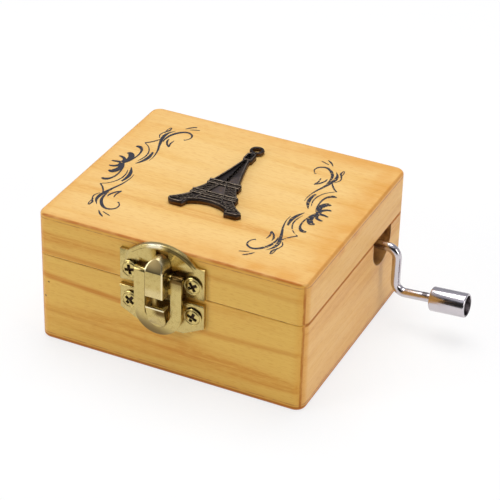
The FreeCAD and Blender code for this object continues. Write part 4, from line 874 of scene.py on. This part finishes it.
# latch, knob and hinges, which get rounded edges
easedSettings = {
    "segments": 3,
    "sharpFrom": 32,         # degrees between two faces
    "flatWithin": 0.6,       # degrees
    "samePoint": 0.002 * mm,
}
easedWidths = {
    "catch_plate": 0.16,
    "latch_base_plate": 0.14,
    "latch_lever": 0.22,
    "latch_hook": 0.26,
    "crank_knob": 0.28,
    "left_hinge_base_leaf": 0.08,
    "left_hinge_lid_leaf": 0.08,
    "right_hinge_base_leaf": 0.08,
    "right_hinge_lid_leaf": 0.08,
}


def soften(holder, width, segments=easedSettings["segments"]):
    bevel = holder.modifiers.new("eased", "BEVEL")
    bevel.width = width * mm
    bevel.segments = segments
    bevel.limit_method = "ANGLE"
    bevel.angle_limit = math.radians(easedSettings["sharpFrom"])
    bevel.harden_normals = True
    bpy.context.view_layer.update()
    eased = plainMesh(holder)
    holder.modifiers.clear()
    holder.data = eased
    for face in eased.polygons:
        face.use_smooth = True


def easedCopy(nodeName, width):
    # the CAD shape again with its sharp edges rounded off
    shape = bmesh.new()
    shape.from_mesh(nodes[nodeName].data)
    bmesh.ops.remove_doubles(shape, verts=shape.verts, dist=easedSettings["samePoint"])
    bmesh.ops.dissolve_limit(shape, angle_limit=math.radians(easedSettings["flatWithin"]),
                             verts=shape.verts, edges=shape.edges)
    mesh = bpy.data.meshes.new(nodeName + "_eased")
    shape.to_mesh(mesh)
    shape.free()
    holder = addHolder(nodeName + "_eased", mesh)
    soften(holder, width)
    holder.data.materials.clear()
    holder.data.materials.append(finishOf(nodeName))
    return keepPiece(holder, bodyOfNode[nodeName], slotOfNode[nodeName], nodeName)


for nodeName, width in easedWidths.items():
    easedCopy(nodeName, width)
print("latch, knob and hinges eased")


# screws and nails, turned on a lathe and set on points
latheSettings = {
    "rows": 41,
    "widest": 1.3,           # no head is wider than this share of its radius
    "samePoint": 0.002 * mm,
    "sharpFrom": 30,
    "crossTaper": 0.95,      # the cross is narrower at its foot
    "inHead": (0.95, 0.85),          # shares of the head's radius
    "hollowFrom": 0.55, "hollow": (0.0, 0.45),
    "groove": 1.03, "grooveReach": (0.09, 0.02), "grooveShare": 0.3,
}


def crossArms(recipe):
    # the two wedges that cut a cross into the head
    arms = []
    for quarter in (0.0, math.pi / 2):
        wedge = recipe.node("GeometryNodeMeshCone", {}, {
            "Vertices": 4, "Radius Top": recipe.size("crossReach") * math.sqrt(2),
            "Radius Bottom": recipe.size("crossReach") * latheSettings["crossTaper"],
            "Depth": recipe.size("crossDepth") * 2})
        squared = recipe.node("GeometryNodeTransform", {}, {
            "Geometry": wedge, "Rotation": (0.0, 0.0, math.pi / 4)})
        slim = recipe.size("crossWidth") / recipe.size("crossReach") * 0.5
        slimmed = recipe.node("GeometryNodeTransform", {}, {
            "Geometry": squared,
            "Scale": recipe.node("ShaderNodeCombineXYZ", {}, {0: 1.0, 1: slim, 2: 1.0})})
        arms.append(recipe.node("GeometryNodeTransform", {}, {
            "Geometry": slimmed,
            "Translation": recipe.node("ShaderNodeCombineXYZ", {}, {
                2: recipe.size("headHeight") - recipe.size("crossDepth")}),
            "Rotation": (0.0, 0.0, quarter)}))
    return arms


def hollowShare(recipe):
    # how deep a spot lies in the cross or in the groove around the head, from 0 to 1
    look = latheSettings
    x, y, z = recipe.axes(recipe.node("GeometryNodeInputPosition"))
    outwards = x.diagonal(y) / recipe.size("headRadius")
    below = (recipe.size("headHeight") * look["hollowFrom"] - z) / recipe.size("crossDepth")
    groove = abs(outwards - look["groove"]).ramp(*look["grooveReach"]) * look["grooveShare"]
    return (below.ramp(*look["hollow"]) * outwards.ramp(*look["inHead"])).most(groove)


def fastenerRecipe(name, stops, crossed=True):
    # stops: (way from head to tip, share of head radius, of head height, of shank radius, of length)
    look = latheSettings
    recipe = Recipe(name, direction=(0.0, 0.0, 1.0), headRadius=2.0 * mm, headHeight=0.4 * mm,
                    shankRadius=1.0 * mm, length=5.0 * mm, crossReach=1.2 * mm, crossWidth=0.5 * mm,
                    crossDepth=0.7 * mm)
    sheet = recipe.node("GeometryNodeMeshGrid", {}, {
        "Size X": 1.0, "Size Y": 1.0, "Vertices X": look["rows"], "Vertices Y": look["rows"]})
    across, along, _ = recipe.axes(recipe.node("GeometryNodeInputPosition"))
    angle = (across + 0.5) * (2 * math.pi)
    way = along + 0.5
    headShare = recipe.curve(way, [(stop[0], stop[1] / look["widest"]) for stop in stops]) * look["widest"]
    heightShare, shankShare, depthShare = [
        recipe.curve(way, [(stop[0], stop[column]) for stop in stops]) for column in (2, 3, 4)]
    reach = headShare * recipe.size("headRadius") + shankShare * recipe.size("shankRadius")
    level = heightShare * recipe.size("headHeight") - depthShare * recipe.size("length")
    spot = recipe.node("ShaderNodeCombineXYZ", {}, {
        0: reach * angle.math("COSINE", angle), 1: reach * angle.math("SINE", angle), 2: level})
    turned = recipe.node("GeometryNodeSetPosition", {}, {"Geometry": sheet, "Position": spot})
    closed = recipe.node("GeometryNodeMergeByDistance", {}, {
        "Geometry": turned, "Distance": look["samePoint"]})
    if crossed:
        closed = recipe.node("GeometryNodeMeshBoolean", {"operation": "DIFFERENCE", "solver": "EXACT"},
                             {"Mesh 1": closed, "Mesh 2": crossArms(recipe)})
    noted = recipe.node("GeometryNodeStoreNamedAttribute", {"data_type": "FLOAT", "domain": "POINT"},
                        {"Geometry": closed, "Name": "hollow", "Value": hollowShare(recipe)})
    faced = recipe.node("FunctionNodeAlignRotationToVector", {"axis": "Z"}, {
        "Vector": recipe.size("direction")})
    twist = recipe.node("FunctionNodeAxisAngleToRotation", {}, {
        "Axis": (0.0, 0.0, 1.0), "Angle": recipe.attribute("twist")})
    facing = recipe.node("FunctionNodeRotateRotation", {"rotation_space": "LOCAL"},
                         {"Rotation": faced, "Rotate By": twist})
    placed = recipe.node("GeometryNodeInstanceOnPoints", {}, {
        "Points": recipe.size("Geometry"), "Instance": recipe.sharpened(noted, look["sharpFrom"]),
        "Rotation": facing})
    return recipe.close(placed)


woodScrew = fastenerRecipe("woodScrew", [
    (0.0, 0.0, 1.0, 0.0, 0.0), (0.1, 0.3, 0.97, 0.0, 0.0), (0.2, 0.6, 0.86, 0.0, 0.0),
    (0.3, 0.85, 0.58, 0.0, 0.0), (0.35, 0.96, 0.3, 0.0, 0.0), (0.4, 1.0, 0.06, 0.0, 0.0),
    (0.45, 1.05, 0.06, 0.0, 0.0), (0.5, 1.1, 0.34, 0.0, 0.0), (0.55, 1.16, 0.36, 0.0, 0.0),
    (0.6, 1.24, 0.02, 0.0, 0.0), (0.65, 1.22, 0.0, 0.0, 0.01), (0.7, 0.0, 0.0, 1.0, 0.02),
    (0.95, 0.0, 0.0, 1.0, 0.99), (1.0, 0.0, 0.0, 0.0, 1.0)])
machineScrew = fastenerRecipe("machineScrew", [
    (0.0, 0.0, 1.0, 0.0, 0.0), (0.15, 0.45, 0.98, 0.0, 0.0), (0.3, 0.75, 0.9, 0.0, 0.0),
    (0.4, 0.93, 0.72, 0.0, 0.0), (0.45, 1.0, 0.5, 0.0, 0.0), (0.55, 1.0, 0.0, 0.0, 0.0),
    (0.6, 0.0, 0.0, 1.0, 0.0), (0.95, 0.0, 0.0, 1.0, 0.99), (1.0, 0.0, 0.0, 0.0, 1.0)])
sunkScrew = fastenerRecipe("sunkScrew", [
    (0.0, 0.0, 1.0, 0.0, 0.0), (0.4, 0.9, 1.0, 0.0, 0.0), (0.45, 1.0, 0.9, 0.0, 0.0),
    (0.5, 1.0, 0.0, 0.0, 0.03), (0.65, 0.0, 0.0, 1.0, 0.32), (0.95, 0.0, 0.0, 1.0, 0.99),
    (1.0, 0.0, 0.0, 0.0, 1.0)])
domedNail = fastenerRecipe("domedNail", [
    (0.0, 0.0, 1.0, 0.0, 0.0), (0.15, 0.35, 0.94, 0.0, 0.0), (0.3, 0.68, 0.75, 0.0, 0.0),
    (0.45, 0.92, 0.4, 0.0, 0.0), (0.55, 1.0, 0.0, 0.0, 0.0), (0.6, 0.0, 0.0, 1.0, 0.02),
    (0.95, 0.0, 0.0, 1.0, 0.99), (1.0, 0.0, 0.0, 0.0, 1.0)], crossed=False)

latchHead = {"headRadius": 2.13, "headHeight": 0.38, "shankRadius": 1.2, "length": 5.6,
             "crossReach": 1.85, "crossWidth": 1.15, "crossDepth": 0.9}
nailHead = {"headRadius": 1.28, "headHeight": 0.48, "shankRadius": 0.58, "length": 4.5}
machineHead = {"headRadius": 1.68, "headHeight": 0.98, "shankRadius": 0.85, "length": 2.7,
               "crossReach": 1.0, "crossWidth": 0.45, "crossDepth": 0.8}
mountHead = {"headRadius": 2.38, "headHeight": 0.08, "shankRadius": 1.18, "length": 4.6,
             "crossReach": 1.4, "crossWidth": 0.6, "crossDepth": 1.1}
nailColumns = (-26.8, -17.2, 17.2, 26.8)
fastenerSettings = {
    # node: (recipe, the way the head faces, sizes, [(x, y, z, twist)])
    "catch_plate_screws": (woodScrew, (0, -1, 0), latchHead,
                           [(-10.65, -36.0, 31.5, 12), (8.05, -36.0, 31.5, 31)]),
    "latch_base_screws": (woodScrew, (0, -1, 0), latchHead,
                          [(-10.65, -36.0, 21.8, 52), (8.05, -36.0, 21.8, 68)]),
    "lid_hinge_nails": (domedNail, (0, 1, 0), nailHead, [(x, 35.3, 31.7, 0) for x in nailColumns]),
    "base_hinge_nails": (domedNail, (0, 1, 0), nailHead, [(x, 35.3, 22.9, 0) for x in nailColumns]),
    "comb_screws": (machineScrew, (0, 0, 1), machineHead,
                    [(-17.47, -4.3, 15.9, 20), (-17.47, 8.7, 15.9, 64)]),
    "bracket_screws": (machineScrew, (0, 0, 1), machineHead,
                       [(-3.6, 18.05, 6.4, 35), (19.6, 18.05, 6.4, 8), (8.0, -13.8, 6.4, 75)]),
    "mounting_screws": (sunkScrew, (0, 0, -1), mountHead,
                        [(-18.02, -13.19, 0.13, 15), (-18.02, 19.89, 0.13, 48), (19.0, 3.35, 0.13, 80)]),
}
for nodeName, (recipe, facingWay, sizes, spots) in fastenerSettings.items():
    marks = guide([spot[:3] for spot in spots], twist=[math.radians(spot[3]) for spot in spots])
    holder = spread(nodeName + "_turned", recipe, marks, finishes[slotOfNode[nodeName]],
                    direction=[float(value) for value in facingWay], **inMetres(sizes))
    keepPiece(holder, bodyOfNode[nodeName], slotOfNode[nodeName], nodeName)
print("screws and nails turned")


# raised bars and printed ribbons, both swept along guide lines
def sweepRecipe(name, flat):
    recipe = Recipe(name, baseWidth=0.5 * mm, topWidth=0.3 * mm, height=0.4 * mm, step=0.25 * mm)
    lines = recipe.node("GeometryNodeMeshToCurve", {}, {0: recipe.size("Geometry")})
    if flat:
        lines = recipe.node("GeometryNodeCurveSplineType", {"spline_type": "CATMULL_ROM"}, {0: lines})
        lines = recipe.node("GeometryNodeResampleCurve", {"mode": "LENGTH"},
                            {"Curve": lines, "Length": recipe.size("step")})
        profile = recipe.node("GeometryNodeCurvePrimitiveLine", {}, {
            "Start": (-0.5 * mm, 0.0, 0.0), "End": (0.5 * mm, 0.0, 0.0)})
    else:
        profile = recipe.node("GeometryNodeCurvePrimitiveQuadrilateral", {"mode": "TRAPEZOID"}, {
            "Bottom Width": recipe.size("baseWidth"), "Top Width": recipe.size("topWidth"),
            "Height": recipe.size("height"), "Offset": 0.0})
    lines = recipe.node("GeometryNodeSetCurveNormal", {"mode": "Z_UP"}, {0: lines})
    swept = recipe.node("GeometryNodeCurveToMesh", {}, {
        "Curve": lines, "Profile Curve": profile, "Scale": recipe.attribute("girth"),
        "Fill Caps": not flat})
    return recipe.close(swept)


raisedBar = sweepRecipe("raisedBar", False)
printedLine = sweepRecipe("printedLine", True)


def strokeGuide(strokes):
    # strokes: lists of (x, y, z, girth) points joined one after another
    points, edges, girths = [], [], []
    for stroke in strokes:
        start = len(points)
        points += [point[:3] for point in stroke]
        girths += [point[3] for point in stroke]
        edges += [(index, index + 1) for index in range(start, len(points) - 1)]
    return guide(points, edges, girth=girths)


# tower charm, in millimetres across and along it from the middle of its feet
charmSettings = {
    "place": (-0.35, -13.9),
    "turn": 1.2,
    "thickness": 1.42,
    "eased": (0.12, 2),              # width and segments of the plate's rounded edges
    "barRise": 1.58,                 # middle of the bars above the lid
    "barSection": {"baseWidth": 0.5, "topWidth": 0.2, "height": 0.46},
    "footWidth": 22.0, "footStep": 1.32, "footHeel": 1.1,
    "margin": 0.02,                  # the feet stay this far inside those of the solid
    "legGap": 12.6, "archRise": 3.8, "archSpring": 1.6,
    # half width, foot and top of each deck, with the (height, girth) of its rails
    "deck": (6.88, 6.2, 8.6), "deckRails": [(6.5, 0.95), (7.4, 0.6), (8.3, 0.95)],
    "upperDeck": (4.83, 12.9, 15.3), "upperRails": [(13.2, 1.0), (14.1, 0.45), (15.0, 1.0)],
    "neck": (1.43, 29.0, 33.4), "neckSteps": (0.5, 0.7), "stem": 0.62, "stemOverlap": 0.3,
    "legTop": 6.33, "middleWidths": (6.5, 4.46), "spireWidths": (3.95, 0.88),
    "bow": 0.05, "spireBow": 0.012,
    "rail": 0.72,                    # girth of the rails along the edges
    "railInset": 0.3,
    "tierInsets": [(0.36, 0.1), (0.34, 0.0), (0.3, 0.0)],    # (way in, way up) of each tier's rail
    "footRail": [(1.2, 0.3), (0.42, 1.25)],      # (way in from the foot's end, height)
    "legRailTop": 0.1,
    "archRail": (1.04, 0.32),                    # share of the arch's width, way up from it
    "deckInset": 0.1,
    "neckRail": (0.28, 0.5, 0.75, 0.2),          # ways in, up from the foot, down from the top twice
    "lattice": 0.42,
    "bars": [
        # (points, girth, on both sides, lift)
        ([(-3.2, 5.35), (3.2, 5.35)], 0.72, False, 0.0),
        ([(0.35, 15.3), (3.9, 3.9)], 0.62, True, 0.16),
        ([(0.2, 28.9), (0.45, 15.5)], 0.3, True, 0.0),
    ],
    "crosses": [
        # (outer low and high corner, inner low and high corner, count)
        ((0.5, 15.6), (0.22, 28.6), (-0.5, 15.6), (-0.22, 28.6), 9),
        ((6.0, 5.7), (10.1, 1.4), (3.7, 4.9), (6.8, 1.5), 4),
        ((6.0, 8.9), (4.2, 12.6), (2.4, 8.9), (1.35, 12.6), 3),
        ((0.8, 29.8), (0.8, 32.6), (-0.8, 29.8), (-0.8, 32.6), 1),
    ],
    "ring": (36.35, 2.15, 1.2),      # place of the middle, outer radius, radius of the hole
    "ringTurns": 40,
    # (way in from the rim, level) upwards, then (way out from the hole, level) downwards
    "ringRim": [(0.35, 0.0), (0.08, 0.2), (0.0, 0.5), (0.0, 0.9), (0.12, 1.15), (0.38, 1.3)],
    "ringBore": [(0.35, 1.3), (0.1, 1.15), (0.0, 0.95), (0.0, 0.35), (0.12, 0.12), (0.4, 0.0)],
}


def bowedLine(start, finish, bow, count=8):
    # a line that bows towards the middle of the tower by a share of its length
    (x0, y0), (x1, y1) = start, finish
    points = []
    for index in range(count + 1):
        share = index / count
        sag = 4 * bow * share * (1 - share)
        points.append((x0 + (x1 - x0) * share - sag * (y1 - y0), y0 + (y1 - y0) * share + sag * (x1 - x0)))
    return points


def archLine(halfGap, spring, top, count=16):
    height = top - spring
    radius = (halfGap ** 2 + height ** 2) / (2 * height)
    points = []
    for index in range(count + 1):
        x = halfGap - 2 * halfGap * index / count
        points.append((x, top - radius + math.sqrt(max(radius ** 2 - x ** 2, 0.0))))
    return points


def charmPoint(x, y, rise):
    lean = math.radians(charmSettings["turn"])
    left, front = charmSettings["place"]
    return (left + x * math.cos(lean) - y * math.sin(lean),
            front + x * math.sin(lean) + y * math.cos(lean), lidTop + rise)


def charmTiers():
    # the right-hand edge of the legs, of the middle and of the spire
    look = charmSettings
    legFoot = (look["footWidth"] / 2 - look["margin"], look["footStep"])
    _, deckLow, deckHigh = look["deck"]
    _, upperLow, upperHigh = look["upperDeck"]
    middleFoot, middleTop = look["middleWidths"]
    spireFoot, spireTop = look["spireWidths"]
    neckLow = look["neck"][1]
    return [bowedLine(legFoot, (look["legTop"], deckLow), look["bow"]),
            bowedLine((middleFoot, deckHigh), (middleTop, upperLow), look["bow"]),
            bowedLine((spireFoot, upperHigh), (spireTop, neckLow), look["spireBow"])]


def charmArch():
    return archLine(charmSettings["legGap"] / 2, charmSettings["archSpring"], charmSettings["archRise"])


def charmOutline():
    look = charmSettings
    deck, deckLow, deckHigh = look["deck"]
    upper, upperLow, upperHigh = look["upperDeck"]
    neck, neckLow, neckHigh = look["neck"]
    stepUp, stepDown = look["neckSteps"]
    ringRise, ringRadius, _ = look["ring"]
    legs, middle, spire = charmTiers()
    rightSide = [(look["legGap"] / 2, look["margin"]),
                 (look["footWidth"] / 2 - look["footHeel"], look["margin"]), *legs,
                 (deck, deckLow), (deck, deckHigh), *middle, (upper, upperLow), (upper, upperHigh), *spire,
                 (neck, neckLow + stepUp), (neck, neckHigh - stepDown), (look["stem"], neckHigh),
                 (look["stem"], ringRise - ringRadius + look["stemOverlap"])]
    leftSide = [(-x, y) for x, y in reversed(rightSide)]
    return rightSide + leftSide + list(reversed(charmArch()))[1:-1]


def charmVertex(shape, x, y, rise):
    return shape.verts.new([value * mm for value in charmPoint(x, y, rise)])


def meshOf(shape, name):
    bmesh.ops.recalc_face_normals(shape, faces=shape.faces)
    mesh = bpy.data.meshes.new(name)
    shape.to_mesh(mesh)
    shape.free()
    return mesh


def makeCharmPlate():
    shape = bmesh.new()
    plate = shape.faces.new([charmVertex(shape, x, y, 0.0) for x, y in charmOutline()])
    lifted = bmesh.ops.extrude_face_region(shape, geom=[plate])
    for item in lifted["geom"]:
        if isinstance(item, bmesh.types.BMVert):
            item.co.z += charmSettings["thickness"] * mm
    holder = addHolder("charm_plate", meshOf(shape, "charmPlate"))
    soften(holder, *charmSettings["eased"])
    holder.data.materials.append(finishes["bronze"])
    keepPiece(holder, "lid", "bronze", "tower_charm")


def makeCharmRing():
    # turned from a round-edged section
    look = charmSettings
    ringRise, ringRadius, ringHole = look["ring"]
    section = [(ringRadius - inwards, level) for inwards, level in look["ringRim"]] \
        + [(ringHole + outwards, level) for outwards, level in look["ringBore"]]
    shape = bmesh.new()
    rows = []
    for index in range(look["ringTurns"]):
        angle = 2 * math.pi * index / look["ringTurns"]
        rows.append([charmVertex(shape, reach * math.cos(angle), ringRise + reach * math.sin(angle), level)
                     for reach, level in section])
    for row, following in zip(rows, rows[1:] + rows[:1]):
        for index in range(len(section)):
            after = (index + 1) % len(section)
            shape.faces.new((row[index], following[index], following[after], row[after]))
    mesh = meshOf(shape, "charmRing")
    for face in mesh.polygons:
        face.use_smooth = True
    holder = addHolder("charm_ring", mesh)
    holder.data.materials.append(finishes["bronze"])
    keepPiece(holder, "lid", "bronze", "tower_charm")


def latticeLines():
    # rails, ridges and lattice of the charm, as lists of (x, y, z, girth) points
    look = charmSettings
    lines = []
    neck, neckLow, neckHigh = look["neck"]
    rail, inset, thin = look["rail"], look["railInset"], look["lattice"]

    def bar(points, girth, both=True, lift=0.0):
        rise = look["barRise"] + lift
        for side in (1, -1) if both else (1,):
            lines.append([charmPoint(side * x, y, rise) + (girth,) for x, y in points])

    def level(halfWide, height, girth):
        bar([(-halfWide, height), (halfWide, height)], girth, both=False)

    innerSide = look["legGap"] / 2 + inset
    footEnd = look["footWidth"] / 2
    bar([(innerSide, inset)] + [(footEnd - inwards, height) for inwards, height in look["footRail"]], rail)
    bar([(innerSide, inset), (innerSide, look["archSpring"] + look["legRailTop"])], rail)
    wider, higher = look["archRail"]
    bar([(x * wider, y + higher) for x, y in charmArch()], rail, both=False)
    for tier, (inwards, upwards) in zip(charmTiers(), look["tierInsets"]):
        bar([(x - inwards, y + upwards) for x, y in tier], rail)
    for deckName, railsName in (("deck", "deckRails"), ("upperDeck", "upperRails")):
        for height, girth in look[railsName]:
            level(look[deckName][0] - look["deckInset"], height, girth)
    for points, girth, both, lift in look["bars"]:
        bar(points, girth, both, lift)
    inwards, above, below, nearTop = look["neckRail"]
    neckSide = neck - inwards
    bar([(neckSide, neckLow + above), (neckSide, neckHigh - below), (inset, neckHigh - nearTop)], rail)
    level(neck - inset, neckLow + inset, rail)
    for outerLow, outerHigh, innerLow, innerHigh, count in look["crosses"]:
        for index in range(count):
            corners = [[low + (high - low) * share for low, high in zip(start, finish)]
                       for start, finish in ((outerLow, outerHigh), (innerLow, innerHigh))
                       for share in (index / count, (index + 1) / count)]
            bar([corners[0], corners[3]], thin)
            bar([corners[1], corners[2]], thin)
    return lines


def makeCharmLattice():
    holder = spread("charm_lattice", raisedBar, strokeGuide(latticeLines()), finishes["bronze"],
                    **inMetres(charmSettings["barSection"]))
    keepPiece(holder, "lid", "bronze", "tower_charm")


makeCharmPlate()
makeCharmRing()
makeCharmLattice()
print("charm made")


# scrollwork printed on the lid
scrollSettings = {
    "lift": 0.03,            # of the ribbons above the lid
    "liftStep": 0.0015,      # between one stroke and the next, so that none lies in another
    "mirrorX": -2.3,         # the right-hand ornament is the left-hand one mirrored here
    "swell": 1.42,           # of all the widths
    "wearLeft": 0.26,
    "wearRight": 0.41,
    # (x, y, width) along each stroke of the front half of the left-hand ornament
    "strokes": [
        [(-26.3, -4.5, .10), (-26.2, -7, .2), (-26.8, -10.5, .35), (-27.8, -13.5, .5), (-28.7, -16.5, .7),
         (-29.2, -19, .75), (-28.9, -21.3, .5), (-27.6, -23.4, .05)],
        [(-27.9, -16, .15), (-28.1, -18, .4), (-27.7, -20.5, .6), (-26.5, -22.6, .65), (-25, -23.9, .6),
         (-23.6, -24.1, .5), (-22.2, -23.2, .4), (-21.8, -21.6, .3), (-22.4, -20.2, .25),
         (-23.1, -19.7, .4)],
        [(-25.0, -14.0, .3), (-26.2, -15.3, .4), (-27.0, -17.0, .4), (-27.1, -18.4, .1)],
        [(-25.0, -14.2, .3), (-25.5, -16, .35), (-25.3, -18, .15)],
        [(-29.1, -2.8, .1), (-28.5, -5, .25), (-28.4, -7.5, .3), (-29.2, -10, .25), (-30.5, -11.8, .2),
         (-32.2, -13.1, .2)],
        [(-32.2, -13.1, .3), (-30.9, -14.3, .35), (-29.7, -16, .3), (-29.1, -17.3, .2)],
        [(-28.9, -1.2, .15), (-27.9, -3.2, .6), (-27.3, -5.5, .75), (-27.3, -7.5, .6), (-27.6, -9.3, .4)],
        [(-29.8, -17.6, .15), (-30.6, -19.3, .25), (-30.2, -21.2, .25), (-29.3, -22.8, .4),
         (-29.4, -24.6, .15)],
        [(-29.9, -21, .2), (-30, -23.2, .2), (-29.6, -24.6, .2)],
        [(-25.6, -25.8, .15), (-24.5, -27.2, .4), (-23.1, -28.3, .25)],
        [(-24.2, -26.0, .2), (-23, -26.5, .25), (-21.6, -27, .2)],
        [(-32.3, 0, .7), (-31.3, -1.8, .6), (-30.6, -4.2, .35), (-30.5, -6.8, .35), (-31.0, -8.9, .5),
         (-32.2, -10.2, .8), (-33.4, -10.1, .5)],
        [(-32.5, -.3, .5), (-31.7, -2.2, .9), (-31.8, -4.2, 1.2), (-32.8, -5.6, 1.1), (-33.8, -5.4, .4)],
        [(-32.7, -.2, .6), (-32.6, -1.6, .7), (-33.4, -2.6, .65), (-34.6, -3.0, .5), (-35.0, -2.8, .2)],
    ],
    "middle": [(-32.9, 0, .7), (-34.2, -.1, .6), (-35.6, -.4, .3)],
}


def makeScroll(name, mirrored, wear):
    look = scrollSettings
    strokes = []
    for stroke in look["strokes"]:
        strokes += [stroke, [(x, -y, width) for x, y, width in stroke]]
    strokes.append(look["middle"])
    lines = []
    for index, stroke in enumerate(strokes):
        level = lidTop + look["lift"] + look["liftStep"] * index
        lines.append([(2 * look["mirrorX"] - x if mirrored else x, y, level, width * look["swell"])
                      for x, y, width in stroke])
    holder = spread(name, printedLine, strokeGuide(lines), inkFinish(name + "_ink", wear))
    keepPiece(holder, "lid", "wood")


makeScroll("left_scroll", False, scrollSettings["wearLeft"])
makeScroll("right_scroll", True, scrollSettings["wearRight"])
print("scrollwork printed")
